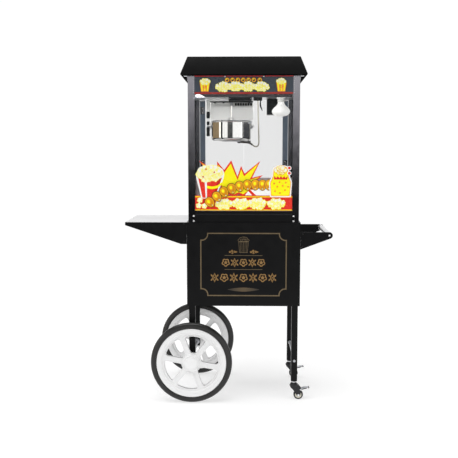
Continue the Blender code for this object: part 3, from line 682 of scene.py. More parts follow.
def make_wheel(end, side):
    """side is -1 at the front; the hub cap faces that way."""
    centre = middle(f"{end}_wheel_tyre")
    out = Vector((0, side, 0))
    rim_r = (span(f"{end}_wheel_rim")[0][1] - span(f"{end}_wheel_rim")[0][0]) / 2
    tyre_r = (span(f"{end}_wheel_tyre")[0][1] - span(f"{end}_wheel_tyre")[0][0]) / 2
    body = f"{end}_wheel"

    band = bmesh.new()
    profile = [(0.129, 0.004), (0.132, 0.0062), (0.1345, 0.01), (0.1365, 0.0122), (0.1395, 0.0128),
               (0.15, 0.0132), (0.153, 0.0138), (rim_r - 0.0012, 0.0138), (rim_r, 0.0128)]
    turned(band, profile + [(r, -d) for r, d in profile[::-1]], centre, out, 96)
    turned(band, [(0.1392, 0.0125), (0.14, 0.0137), (0.1416, 0.0137), (0.1424, 0.0125)], centre, out, 96)
    piece(f"{end}_rim_band", band, white_plastic, body, angle=40, stands_for=(f"{end}_wheel_rim",))

    web = bmesh.new()
    gaps = [opening_outline(20 + 60 * k, 0.0125, 0.046, 0.1225, 0.015) for k in range(6)]
    at_hub = [[(centre.x + a, centre.z + b) for a, b in gap] for gap in gaps]
    rims = [circle((centre.x, centre.z), 0.1315, 96)] + at_hub
    plate(web, rims, "Y", centre.y - 0.0052, centre.y + 0.0052)
    piece(f"{end}_wheel_web", web, white_plastic, body, 0.0016, 3)

    ribs = bmesh.new()
    for gap in at_hub:
        around = offset(gap, wider_side(gap) * 0.0034)
        plate(ribs, [around, gap], "Y", centre.y - 0.0086, centre.y + 0.0086)
    piece(f"{end}_wheel_ribs", ribs, white_plastic, body, 0.001, 2)

    hub = bmesh.new()
    profile = [(0, 0.008), (0.0075, 0.008), (0.0075, -0.0215), (0.03, -0.0215), (0.032, -0.0195),
               (0.0345, -0.008), (0.04, -0.0058), (0.044, -0.0048), (0.044, 0.0048), (0.041, 0.0062),
               (0.0385, 0.009), (0.0372, 0.013), (0.0355, 0.0148), (0.0312, 0.0152), (0.0305, 0.016),
               (0.0302, 0.0215), (0.0285, 0.0238), (0.024, 0.0249), (0.013, 0.025), (0.011, 0.0244),
               (0, 0.0242)]
    turned(hub, profile, centre, out, 64)
    piece(f"{end}_wheel_hub", hub, white_plastic, body, angle=40)

    tyre = bmesh.new()
    inside = rim_r + 0.0003
    wall = [(inside, 0.0118), (inside + 0.0018, 0.0142), (inside + 0.005, 0.0158), (inside + 0.0066, 0.0157),
            (inside + 0.0072, 0.0164), (inside + 0.01, 0.0169)]
    crown = [(tyre_r - 0.015 + a, b) for a, b in arc((0, 0), 0.015, 66, 24, 5)]
    tread = [(tyre_r - 0.0006, 0.0046), (tyre_r - 0.0014, 0.004), (tyre_r - 0.0014, 0.0034),
             (tyre_r - 0.0001, 0.0028)]
    half = wall + crown + tread
    turned(tyre, half + [(r, -d) for r, d in half[::-1]], centre, out, 112)
    piece(f"{end}_tyre", tyre, tyre_rubber, body, angle=50, stands_for=(f"{end}_wheel_tyre",))


def wider_side(loop):
    """1 or -1: the sign of the offset that makes this closed loop larger."""
    area = sum(a[0] * b[1] - b[0] * a[1] for a, b in zip(loop, loop[1:] + loop[:1]))
    return 1 if area > 0 else -1


def make_axle_fittings():
    """Spacer tubes, washers and nuts along the axle, and plugs in the legs' open ends."""
    axle = middle("wheel_axle")
    parts = bmesh.new()
    for side in (-1, 1):
        leg = span("leg_front_left" if side < 0 else "leg_rear_left")[1]
        outer = max(abs(leg[0]), abs(leg[1]))
        inner = min(abs(leg[0]), abs(leg[1]))
        hub = abs(middle("front_wheel_tyre").y) - 0.0222
        profile = [(0.0073, 0), (0.0105, 0), (0.0105, hub - outer - 0.0006), (0.0073, hub - outer - 0.0006)]
        turned(parts, profile, (axle.x, side * (outer + 0.0003), axle.z), (0, side, 0), 32)
        turned(parts, [(0.0073, 0), (0.014, 0), (0.014, 0.0016), (0.0073, 0.0016)],
               (axle.x, side * (inner - 0.0003), axle.z), (0, -side, 0), 32)
        turned(parts, [(0.0073, 0), (0.0118, 0), (0.012, 0.0012), (0.012, 0.007), (0.0112, 0.008),
                       (0.0073, 0.008)],
               (axle.x, side * (inner - 0.0021), axle.z), (0, -side, 0), 6)
    piece("axle_spacers_and_nuts", parts, zinc, "cart")
    plugs = bmesh.new()
    for end in ("front", "rear"):
        x, y, z = span(f"leg_{end}_left")
        plate(plugs, [rounded((x[0] + 0.0003, x[1] - 0.0003), (y[0] + 0.0003, y[1] - 0.0003), 0.003)], "Z",
              z[0] - 0.003, z[0] - 0.0002)
    piece("leg_end_plugs", plugs, black_plastic, "cart", 0.0008)
    bolts = bmesh.new()
    bar_z = middle("leg_crossbar").z
    for side in (-1, 1):
        y = span("leg_front_right" if side < 0 else "leg_rear_right")[1]
        face = max(abs(y[0]), abs(y[1]))
        turned(bolts, [(0, 0.0052), (0.003, 0.0048), (0.0055, 0.0032), (0.0066, 0.001), (0.0066, 0),
                       (0, 0)],
               (middle("leg_crossbar").x, side * face, bar_z), (0, side, 0), 32)
        inner = min(abs(y[0]), abs(y[1]))
        hex_nut(bolts, (middle("leg_crossbar").x, side * (inner - 0.0002), bar_z), (0, -side, 0), 0.0098,
                0.005)
    piece("crossbar_bolts", bolts, zinc, "cart")


def make_caster(end):
    """Stem, pressed housing, two cheeks, wheel and brake pedal of one swivel caster."""
    top = span(f"leg_{end}_right")[2][0]
    wheel = middle(f"caster_{end}_wheel")
    radius = (span(f"caster_{end}_wheel")[0][1] - span(f"caster_{end}_wheel")[0][0]) / 2
    stem_x = middle(f"leg_{end}_right").x
    mid_y = wheel.y
    body = f"{end}_caster"

    stem = bmesh.new()
    rod(stem, (stem_x, mid_y, 0.07), (stem_x, mid_y, top - 0.0003), 0.005, 24)
    turned(stem, [(0, 0), (0.0098, 0), (0.01, 0.001), (0.01, 0.004), (0.0092, 0.0048), (0, 0.0048)],
           (stem_x, mid_y, 0.079), "Z", 6)
    piece(f"{end}_caster_stem", stem, chrome, body, 0.0003)

    hood = bmesh.new()
    turned(hood, [(0, 0.0775), (0.009, 0.0775), (0.013, 0.0768), (0.0165, 0.0742), (0.0185, 0.07),
                  (0.019, 0.0655), (0.019, 0.063), (0.0178, 0.062), (0, 0.062)],
           (stem_x, mid_y, 0), "Z", 40)
    turned(hood, [(0.015, 0.064), (0.0196, 0.064), (0.02, 0.0648), (0.02, 0.0664), (0.0196, 0.0672),
                  (0.015, 0.0672)], (stem_x, mid_y, 0), "Z", 40)
    piece(f"{end}_caster_hood", hood, caster_steel, body, angle=40, stands_for=(f"caster_{end}_fork",))

    cheeks = bmesh.new()
    outline = [(stem_x - 0.0175, 0.069), (stem_x - 0.018, 0.06), (stem_x - 0.004, 0.046),
               (wheel.x - 0.0086, wheel.z + 0.002), (wheel.x - 0.006, wheel.z - 0.0066),
               (wheel.x + 0.006, wheel.z - 0.0066),
               (wheel.x + 0.009, wheel.z + 0.001), (stem_x + 0.034, 0.044), (stem_x + 0.035, 0.05),
               (stem_x + 0.03, 0.0545), (stem_x + 0.0195, 0.069)]
    outline = round_corners(outline, 0.0045, 4)
    for sign in (-1, 1):
        low, high = sorted((mid_y + sign * 0.0114, mid_y + sign * 0.0135))
        plate(cheeks, [outline], "Y", low, high)
    piece(f"{end}_caster_cheeks", cheeks, caster_steel, body, 0.0007, 3)

    bolts = bmesh.new()
    pivot_x = stem_x + 0.031
    for sign in (-1, 1):
        hex_nut(bolts, (wheel.x, mid_y + sign * 0.0135, wheel.z), (0, sign, 0), 0.0058, 0.0028)
        turned(bolts, [(0, 0.0018), (0.002, 0.0016), (0.0034, 0.0006), (0.0034, 0), (0, 0)],
               (pivot_x, mid_y + sign * 0.0135, 0.0475), (0, sign, 0), 20)
    piece(f"{end}_caster_bolts", bolts, chrome, body)

    tyre = bmesh.new()
    turned(tyre, [(0.015, -0.0085), (0.0158, -0.0092), (radius - 0.003, -0.0092),
                  (radius - 0.001, -0.008),
                  (radius, -0.0055), (radius, 0.0055), (radius - 0.001, 0.008), (radius - 0.003, 0.0092),
                  (0.0158, 0.0092), (0.015, 0.0085)], wheel, "Y", 56)
    piece(f"{end}_caster_tyre", tyre, caster_rubber, f"{end}_caster_wheel", angle=40,
          stands_for=(f"caster_{end}_wheel",))
    core = bmesh.new()
    turned(core, [(0.0033, -0.0105), (0.007, -0.0105), (0.0078, -0.0098), (0.009, -0.0072),
                  (0.012, -0.0066),
                  (0.014, -0.0078), (0.015, -0.0084), (0.015, 0.0084), (0.014, 0.0078), (0.012, 0.0066),
                  (0.009, 0.0072), (0.0078, 0.0098), (0.007, 0.0105), (0.0033, 0.0105)], wheel, "Y", 48)
    piece(f"{end}_caster_hub", core, caster_hub, f"{end}_caster_wheel", angle=40)

    lever = bmesh.new()
    px, pz = pivot_x, 0.0475
    outline = [(px + 0.001, pz + 0.0042), (px + 0.024, pz + 0.01), (px + 0.036, pz + 0.0104),
               (px + 0.036, pz + 0.0086), (px + 0.024, pz + 0.008), (px + 0.004, pz + 0.002)]
    plate(lever, [round_corners(outline, 0.0008, 2)], "Y", mid_y - 0.01, mid_y + 0.01)
    piece(f"{end}_brake_plate", lever, zinc, f"{end}_caster_brake", 0.0005, 2,
          stands_for=(f"caster_{end}_brake_pedal",))
    under = bmesh.new()
    outline = [(px - 0.003, pz), (px - 0.002, pz + 0.0032), (px + 0.004, pz + 0.0026),
               (px + 0.023, pz + 0.0074),
               (px + 0.033, pz + 0.0084), (px + 0.03, pz + 0.004), (px + 0.014, pz - 0.0006),
               (px + 0.002, pz - 0.0032)]
    plate(under, [round_corners(outline, 0.002, 3)], "Y", mid_y - 0.007, mid_y + 0.007)
    rod(under, (px + 0.0372, mid_y - 0.0104, pz + 0.008), (px + 0.0372, mid_y + 0.0104, pz + 0.008),
        0.003, 20, 0.0006)
    piece(f"{end}_brake_lever", under, black_plastic, f"{end}_caster_brake", 0.0004)


# ---------------------------------------------------------------- machine case

MACH_X = (span("machine_post_front_left")[0][0], span("machine_post_front_right")[0][1])
MACH_Y = (span("machine_post_front_left")[1][0], span("machine_post_rear_left")[1][1])
POST_INNER = span("machine_post_front_right")[0][0]
GLASS_Z = span("front_glass")[2]
SIGN_Z = span("sign_panel")[2]


def make_case():
    for node in ("machine_front_rail", "machine_left_rail", "machine_right_rail", "crumb_drawer"):
        paint_node(node, black_paint, 0.0005)
    for end in ("front", "rear"):
        for hand in ("left", "right"):
            # The posts take the finish with painted sheen at the top and painted shade towards the floor.
            paint_node(f"machine_post_{end}_{hand}", post_painted_sheen, 0.0005)
    paint_node("rear_sill_panel", brushed, 0.0003)
    paint_node("front_glass", front_pane)
    paint_node("left_glass", side_pane)
    paint_node("right_glass", side_pane)
    paint_node("left_glass_door", door_pane)
    paint_node("right_glass_door", door_pane)
    paint_node("sign_panel", slate, 0.0003)


def make_rail_seam():
    """A folded seam along the base's front and the screws at both of its ends."""
    z = 0.8578
    seam = bmesh.new()
    outline = [(MACH_Y[0] - 0.0009, z - 0.0008), (MACH_Y[0] - 0.0009, z + 0.0006),
               (MACH_Y[0] - 0.0002, z + 0.0016),
               (MACH_Y[0] + 0.0004, z + 0.0016), (MACH_Y[0] + 0.0004, z - 0.001)]
    plate(seam, [outline], "X", -POST_INNER + 0.001, POST_INNER - 0.001)
    # The seam takes the post finish, so it gets that finish's painted shade near the floor.
    piece("base_seam", seam, post_painted_sheen, "cart", 0.0002)
    heads = bmesh.new()
    for x in (-0.224, 0.224):
        for z in (0.8505, 0.8275):
            screw(heads, (x, MACH_Y[0], z), (0, -1, 0), 0.0042, 0.002)
            screw(heads, (x, MACH_Y[1], z), (0, 1, 0), 0.0032, 0.002)
    for x in (-0.083, 0.088):
        screw(heads, (x, span("sign_panel")[1][0], SIGN_Z[1] - 0.0045), (0, -1, 0), 0.0036, 0.002)
    piece("case_screws", heads, bright_screw, "cart")
    rows = bmesh.new()
    for x in (-0.2225, 0.2225):
        for k in range(9):
            z = 1.3975 + k * 0.0085
            turned(rows, [(0, 0), (0.0013, 0), (0.0011, 0.00045), (0, 0.00055)], (x, MACH_Y[0], z),
                   (0, -1, 0), 12)
    piece("post_rivet_dots", rows, bright_screw, "cart")


def make_tray_plate():
    """The popcorn tray: a plate with rows of holes that let unpopped kernels fall."""
    x, y, z = span("popcorn_tray_plate")
    outline = [(x[0], y[0]), (x[1], y[0]), (x[1], y[1]), (x[0], y[1])]
    holes = []
    for i in range(13):
        for j in range(8):
            holes.append(circle((-0.15 + i * 0.025, -0.088 + j * 0.025), 0.0042, 10))
    bm = bmesh.new()
    plate(bm, [outline] + holes, "Z", z[0], z[1])
    piece("tray_plate", bm, brushed, "cart", stands_for=("popcorn_tray_plate",))


def make_drawer_pull():
    (_, _), (_, back), (z0, z1) = span("crumb_drawer")
    pull = bmesh.new()
    z = (z0 + z1) / 2
    route = [(-0.045, back, z), (-0.044, back + 0.009, z), (-0.038, back + 0.0145, z),
             (-0.025, back + 0.016, z),
             (0.025, back + 0.016, z), (0.038, back + 0.0145, z), (0.044, back + 0.009, z), (0.045, back, z)]
    sweep(pull, route, 0.0038, 14)
    for x in (-0.045, 0.045):
        turned(pull, [(0, 0), (0.0075, 0), (0.0075, 0.0012), (0.005, 0.0024), (0, 0.0024)], (x, back, z),
               "Y", 24)
    piece("crumb_drawer_pull", pull, chrome, "crumb_drawer", angle=50)


def make_roof():
    """The sheet roof with its folded eaves, over its hollow."""
    x, y, z = span("roof")
    lo_x, lo_y = x[1], y[1]
    top_x, top_y = 0.2484, 0.18
    rings = []
    bm = bmesh.new()
    levels = [(lo_x - 0.0015, lo_y - 0.0015, z[0]), (lo_x, lo_y, z[0]), (lo_x, lo_y, z[0] + 0.0035),
              (top_x + 0.0012, top_y + 0.0012, z[1] - 0.0022), (top_x - 0.0012, top_y - 0.0012, z[1])]
    inner = [(top_x - 0.003, top_y - 0.003, z[1] - 0.002), (lo_x - 0.0022, lo_y - 0.0022, z[0] + 0.0035)]
    for hx, hy, level in levels + inner:
        rings.append([bm.verts.new((a * hx, b * hy, level)) for a, b in ((-1, -1), (1, -1), (1, 1), (-1, 1))])
    for first, second in zip(rings[:5], rings[1:5]):
        for i in range(4):
            bm.faces.new((first[i - 1], first[i], second[i], second[i - 1]))
    bm.faces.new(rings[4])
    for i in range(4):
        bm.faces.new((rings[5][i - 1], rings[5][i], rings[6][i], rings[6][i - 1]))
        bm.faces.new((rings[6][i - 1], rings[6][i], rings[0][i], rings[0][i - 1]))
    bm.faces.new(rings[5])
    piece("roof_cover", bm, roof_paint, "cart", 0.0012, 3, stands_for=("roof",))
    clips = bmesh.new()
    for sx in (-1, 1):
        for y0 in (-0.176, 0.15):
            low, high = sorted((sx * (MACH_X[1] + 0.0004), sx * (MACH_X[1] + 0.0175)))
            plate(clips, [rounded((low, high), (y0, y0 + 0.026), 0.003)], "Z", z[0] - 0.003, z[0] - 0.0002)
            low, high = sorted((sx * (MACH_X[1] + 0.0002), sx * (MACH_X[1] + 0.0018)))
            plate(clips, [rounded((y0, y0 + 0.026), (z[0] - 0.022, z[0] - 0.0002), 0.003)], "X", low, high)
            screw(clips, (sx * (MACH_X[1] + 0.0018), y0 + 0.013, z[0] - 0.014), (sx, 0, 0), 0.0032, 0.0018)
    piece("eaves_brackets", clips, zinc, "cart", 0.0003)


def make_housing():
    """The header box above the glass: black sides over a stainless ceiling."""
    x, y, z = span("top_housing")
    bm = bmesh.new()
    outer = [(x[0], y[0]), (x[1], y[0]), (x[1], y[1]), (x[0], y[1])]
    inner = [(a * 0.9935, b * 0.9915) for a, b in outer]
    plate(bm, [outer, inner], "Z", z[0] + 0.0006, z[1])
    piece("housing_walls", bm, black_paint, "cart", stands_for=("top_housing",))
    ceiling = bmesh.new()
    plate(ceiling, [[(a * 0.9985, b * 0.998) for a, b in outer]], "Z", z[0], z[0] + 0.0012)
    piece("ceiling_sheet", ceiling, brushed, "cart", 0.0003)
    lip = bmesh.new()
    plate(lip, [rounded((x[0] + 0.032, x[1] - 0.032), (z[0] - 0.013, z[0] - 0.0002), 0.001, 2)], "Y",
          -0.1715, -0.17)
    piece("header_front_lip", lip, lip_grey, "cart", 0.0003)
    inlet = bmesh.new()
    plate(inlet, [rounded((-0.158, -0.118), (1.415, 1.445), 0.004),
                  rounded((-0.151, -0.125), (1.42, 1.44), 0.005)],
          "Y", y[1], y[1] + 0.0042)
    piece("mains_inlet_frame", inlet, black_plastic, "cart", 0.0006)
    # Partly the socket's own black plastic, partly painted shade: a near-black plate at the back of the
    # inlet's recess.
    recess = bmesh.new()
    plate(recess, [rounded((-0.1512, -0.1248), (1.4198, 1.4402), 0.005)], "Y", y[1], y[1] + 0.0008)
    piece("mains_inlet_recess_shade", recess, painted_shade_fill, "cart")
    pins = bmesh.new()
    for px in (-0.145, -0.138, -0.131):
        rise = 0.0025 if px == -0.138 else -0.002
        block(pins, (px - 0.0009, px + 0.0009), (y[1] + 0.0008, y[1] + 0.0036),
              (1.4275 + rise, 1.4325 + rise))
    piece("mains_inlet_pins", pins, zinc, "cart", 0.0002)


def make_switches():
    """Rockers in their bezels on the back of the header."""
    back = span("top_housing")[1][1]
    for node, body in (("stir_motor_switch", "motor_switch"), ("kettle_heat_switch", "heat_switch"),
                       ("lamp_switch", "light_switch")):
        paint_node(node, black_plastic, 0.0005)
        at = middle(node)
        bezel = bmesh.new()
        x, z = at.x, at.z
        plate(bezel, [rounded((x - 0.0112, x + 0.0112), (z - 0.0148, z + 0.0148), 0.0018),
                      rounded((x - 0.0086, x + 0.0086), (z - 0.0118, z + 0.0118), 0.0008, 2)],
              "Y", back + 0.0001, back + 0.0026)
        piece(f"{body}_bezel", bezel, black_plastic, "cart", 0.0005)


def make_doors():
    """Hinge-side profiles, hinges and knobs of the two rear glass doors."""
    for hand, sign in (("left", -1), ("right", 1)):
        x, y, z = span(f"{hand}_glass_door")
        body = f"{hand}_door"
        edge = sign * max(abs(x[0]), abs(x[1]))
        strip = bmesh.new()
        low, high = sorted((edge, edge - sign * 0.026))
        for y0, y1 in ((y[0] - 0.0016, y[0] - 0.0001), (y[1] + 0.0001, y[1] + 0.0004)):
            plate(strip, [rounded((low, high), z, 0.001, 1)], "Y", y0, y1)
        lip, lip_end = sorted((edge - sign * 0.0248, edge - sign * 0.0262))
        block(strip, (lip, lip_end), (y[0] - 0.003, y[0] - 0.0001), z)
        piece(f"{hand}_door_profile", strip, anodised, body, 0.0002)
        hinge = bmesh.new()
        for middle_z in (1.3395, 1.0795):
            low, high = sorted((edge - sign * 0.001, edge - sign * 0.022))
            plate(hinge, [rounded((low, high), (middle_z - 0.018, middle_z + 0.018), 0.0025)], "Y",
                  y[0] - 0.0036, y[0] - 0.0018)
            for dz in (-0.01, 0.01):
                screw(hinge, (edge - sign * 0.013, y[0] - 0.0036, middle_z + dz), (0, -1, 0), 0.0026, 0.0013)
        piece(f"{hand}_door_hinges", hinge, chrome, body, 0.0003)
        pin = bmesh.new()
        low, high = sorted((edge - sign * 0.004, edge - sign * 0.02))
        plate(pin, [rounded((low, high), (y[0] - 0.012, y[0] - 0.002), 0.003)], "Z", z[1] - 0.005,
              z[1] - 0.003)
        piece(f"{hand}_door_top_bracket", pin, chrome, body, 0.0003)
        knob = bmesh.new()
        kx = sign * 0.024
        turned(knob, [(0, 0.0142), (0.005, 0.014), (0.0088, 0.0124), (0.01, 0.01), (0.0096, 0.0076),
                      (0.006, 0.0054), (0.0052, 0.002), (0.0064, 0.0002), (0, 0.0002)],
               (kx, y[1], 1.19), "Y", 36)
        turned(knob, [(0, 0.0002), (0.0055, 0.0002), (0.0052, 0.0018), (0.003, 0.0026), (0, 0.0026)],
               (kx, y[0], 1.19), (0, -1, 0), 24)
        piece(f"{hand}_door_knob", knob, black_plastic, body, angle=40)


def make_glass_beads():
    """Dark rubber beads that hold the fixed panes against the posts and rails."""
    beads = bmesh.new()
    y = span("front_glass")[1]
    x = span("front_glass")[0]
    for low, high in ((x[0], x[0] + 0.006), (x[1] - 0.006, x[1])):
        block(beads, (low, high), (y[1] + 0.0002, y[1] + 0.0022), GLASS_Z)
    block(beads, (x[0] + 0.007, x[1] - 0.007), (y[1] + 0.0002, y[1] + 0.0022),
          (GLASS_Z[0], GLASS_Z[0] + 0.005))
    for node, sign in (("left_glass", -1), ("right_glass", 1)):
        gx, gy, gz = span(node)
        face = min(abs(gx[0]), abs(gx[1]))
        low, high = sorted((sign * (face - 0.0002), sign * (face - 0.0022)))
        for y0, y1 in ((gy[0], gy[0] + 0.006), (gy[1] - 0.006, gy[1])):
            block(beads, (low, high), (y0, y1), (gz[0], gz[1] - 0.0005))
        block(beads, (low, high), (gy[0] + 0.0065, gy[1] - 0.0065), (gz[0], gz[0] + 0.005))
    piece("glass_beads", beads, caster_rubber, "cart", 0.0004, paint="black_plastic")


# ---------------------------------------------------------------- kettle and ceiling fittings

POT = span("kettle_pot")
PIVOT_Z = middle("kettle_hanger").z - (span("kettle_hanger")[2][1] - span("kettle_hanger")[2][0]) / 2 + 0.015
KETTLE_X = middle("kettle_lid_front").x
CEILING = span("top_housing")[2][0]


def make_pot():
    """The kettle: a spun steel pan with a rolled rim, a base band and its pivot bosses."""
    low, high = POT[2][0], span("kettle_lid_front")[2][0] - 0.002
    r = 0.093
    centre = (KETTLE_X, 0, 0)
    bm = bmesh.new()
    base = [(r - 0.014 + a, b) for a, b in arc((0, low + 0.014), 0.014, -90, 0, 10)]
    outside = [(0, low), (0.05, low), (0.052, low + 0.0008), (0.06, low + 0.0008), (0.062, low)]
    rim = [(r + 0.003 + a, b) for a, b in arc((-0.0015, high - 0.0018), 0.0018, -60, 180, 9)]
    inner = r - 0.0015
    within = [(inner, high - 0.004)]
    within += [(inner - 0.0125 + a, b) for a, b in arc((0, low + 0.014), 0.0125, 0, -90, 8)]
    wall = [(r, low + 0.0146), (r, low + 0.016), (r, high - 0.0064), (r, high - 0.005)]
    profile = outside + base + wall + rim + within
    turned(bm, profile + [(0, low + 0.0015)], centre, "Z", 128)
    piece("kettle_pan", bm, polished, "kettle", angle=50, stands_for=("kettle_pot",))

    fittings = bmesh.new()
    handle_x = middle("kettle_tilt_handle").x
    strap_x = max(span("kettle_hanger")[0])
    rod(fittings, (KETTLE_X - r + 0.001, 0, PIVOT_Z), (handle_x + 0.0012, 0, PIVOT_Z), 0.004, 24)
    rod(fittings, (KETTLE_X + r - 0.001, 0, PIVOT_Z), (strap_x + 0.0035, 0, PIVOT_Z), 0.004, 24, 0.0008)
    for side in (-1, 1):
        base_x = KETTLE_X + side * (r - 0.0018)
        turned(fittings, [(0.0041, 0), (0.013, 0), (0.013, 0.002), (0.0105, 0.0034), (0.007, 0.004),
                          (0.0041, 0.004)], (base_x, 0, PIVOT_Z), (side, 0, 0), 32)
    bridge_z = high
    block(fittings, (KETTLE_X - r + 0.001, KETTLE_X - 0.0042), (-0.0058, 0.0058),
          (bridge_z - 0.0022, bridge_z + 0.0014))
    block(fittings, (KETTLE_X + 0.0042, KETTLE_X + r - 0.001), (-0.0058, 0.0058),
          (bridge_z - 0.0022, bridge_z + 0.0014))
    turned(fittings, [(0.0039, -0.0026), (0.007, -0.0026), (0.007, 0.0018), (0.0039, 0.0018)],
           (KETTLE_X, 0, bridge_z), "Z", 28)
    lug_x = KETTLE_X + r * 0.9
    plate(fittings, [rounded((lug_x - 0.004, lug_x + 0.01), (high - 0.012, high + 0.001), 0.002)], "Y",
          -0.044, -0.042)
    piece("kettle_pivots_and_bridge", fittings, zinc, "kettle", 0.0003)

    cover = bmesh.new()
    turned(cover, [(0, low - 0.0022), (0.044, low - 0.0022), (0.048, low - 0.0012), (0.049, low - 0.0001),
                   (0, low - 0.0001)], (KETTLE_X, 0, 0), "Z", 72)
    for k in range(4):
        angle = math.radians(45 + 90 * k)
        screw(cover, (KETTLE_X + 0.036 * math.cos(angle), 0.036 * math.sin(angle), low - 0.0022), (0, 0, -1),
              0.0028, 0.0014)
    piece("kettle_element_cover", cover, zinc, "kettle", angle=40)


def make_lids():
    """Two half lids with a raised edge, hinge barrels along the bridge and a bent lift tab."""
    for name, body, side in (("front", "lid_front", -1), ("rear", "lid_rear", 1)):
        x, y, z = span(f"kettle_lid_{name}")
        radius = (x[1] - x[0]) / 2
        root = min(abs(y[0]), abs(y[1]))
        start = math.degrees(math.asin(root / radius))
        notch = 0.0098
        notch_start = math.degrees(math.asin(root / notch))
        outline = arc((KETTLE_X, 0), radius, start, 180 - start, 48)
        outline += arc((KETTLE_X, 0), notch, 180 - notch_start, notch_start, 8)
        bm = bmesh.new()
        plate(bm, [[(a, side * b) for a, b in outline]], "Z", z[0], z[1])
        rim = arc((KETTLE_X, 0), radius, start + 1, 179 - start, 48)
        rim += arc((KETTLE_X, 0), radius - 0.003, 179 - start, start + 1, 48)
        plate(bm, [[(a, side * b) for a, b in rim]], "Z", z[1] - 0.0003, z[1] + 0.001)
        raised = arc((KETTLE_X, 0), 0.07, 25, 155, 30) + arc((KETTLE_X, 0), 0.066, 155, 25, 30)
        plate(bm, [[(a, side * b) for a, b in raised]], "Z", z[1] - 0.0003, z[1] + 0.0007)
        piece(f"lid_{name}_sheet", bm, polished, body, 0.0004, stands_for=(f"kettle_lid_{name}",))
        tab = bmesh.new()
        y_out = side * 0.08
        route = [(KETTLE_X - 0.013, y_out, z[1]), (KETTLE_X - 0.0125, y_out, z[1] + 0.007),
                 (KETTLE_X - 0.009, y_out, z[1] + 0.01), (KETTLE_X + 0.009, y_out, z[1] + 0.01),
                 (KETTLE_X + 0.0125, y_out, z[1] + 0.007), (KETTLE_X + 0.013, y_out, z[1])]
        sweep(tab, route, 0.0014, 10)
        for x0, x1 in ((-0.074, -0.054), (0.054, 0.074)):
            rod(tab, (KETTLE_X + x0, side * root, z[1]), (KETTLE_X + x1, side * root, z[1]), 0.0013, 14)
        piece(f"lid_{name}_tab_and_hinge", tab, chrome, body, angle=50)


def make_tilt_handle():
    """A flat steel arm with a black knob above the pivot and a grip below it."""
    x, _, z = span("kettle_tilt_handle")
    at = (x[0] + x[1]) / 2
    arm = bmesh.new()
    outline = round_corners([(-0.006, z[0] + 0.006), (0.006, z[0] + 0.006), (0.006, z[1] - 0.005),
                             (-0.006, z[1] - 0.005)],
                            0.004)
    plate(arm, [outline], "X", at - 0.00125, at + 0.00125)
    hex_nut(arm, (at - 0.0013, 0, PIVOT_Z), (-1, 0, 0), 0.0062, 0.0036)
    for dz in (-0.012, 0.012):
        screw(arm, (at - 0.0012, 0, PIVOT_Z + dz), (-1, 0, 0), 0.003, 0.0016)
    piece("tilt_handle_arm", arm, zinc, "kettle", 0.0003, stands_for=("kettle_tilt_handle",))
    grips = bmesh.new()
    low = 1.293
    profile = [(0, 0), (0.006, 0), (0.0072, 0.002), (0.0074, 0.005)]
    for k in range(4):
        level = 0.006 + k * 0.0042
        profile += [(0.0083, level), (0.0084, level + 0.0018), (0.0078, level + 0.003)]
    profile += [(0.0082, 0.024), (0.0078, 0.0282), (0.006, 0.031), (0.003, 0.032), (0, 0.032)]
    turned(grips, profile, (at, 0, low), "Z", 40)
    turned(grips, [(0, 0), (0.005, 0.0004), (0.0074, 0.0022), (0.008, 0.006), (0.0074, 0.018),
                   (0.008, 0.034), (0.0078, 0.04), (0.006, 0.0424), (0, 0.0426)], (at, 0, z[0]), "Z", 36)
    turned(grips, [(0, 0), (0.0062, 0), (0.0066, 0.001), (0.0066, 0.015), (0.0056, 0.0162), (0, 0.0162)],
           (at, 0, PIVOT_Z + 0.009), "Z", 32)
    piece("tilt_handle_grips", grips, black_plastic, "kettle", angle=50)


def make_hanger():
    """The black cross beam and the two steel straps that carry the kettle's pivots."""
    x, y, z = span("kettle_hanger")
    beam = bmesh.new()
    block(beam, (x[0], x[1]), y, (z[1] - 0.005, z[1]))
    for at in (-0.135, -0.095, 0.025):
        hex_nut(beam, (at, 0, z[1] - 0.005), (0, 0, -1), 0.005, 0.0028)
    piece("kettle_beam", beam, black_paint, "cart", 0.0007, stands_for=("kettle_hanger",))
    straps = bmesh.new()
    for x0, x1 in ((x[0], x[0] + 0.0025), (x[1] - 0.0025, x[1])):
        outline = [(y[0], z[1] - 0.0052), (y[0], PIVOT_Z)]
        outline += arc((0, PIVOT_Z), y[1], 180, 360, 14)[1:-1]
        outline += [(y[1], PIVOT_Z), (y[1], z[1] - 0.0052)]
        plate(straps, [outline, circle((0, PIVOT_Z), 0.0044, 20)], "X", x0, x1)
    piece("kettle_straps", straps, sheet_white, "cart", 0.0004)
    nut = bmesh.new()
    turned(nut, [(0.0041, 0), (0.0078, 0), (0.008, 0.0008), (0.008, 0.0024), (0.0074, 0.003),
                 (0.0041, 0.003)],
           (x[1] + 0.0003, 0, PIVOT_Z), "X", 6)
    piece("right_pivot_nut", nut, chrome, "kettle")


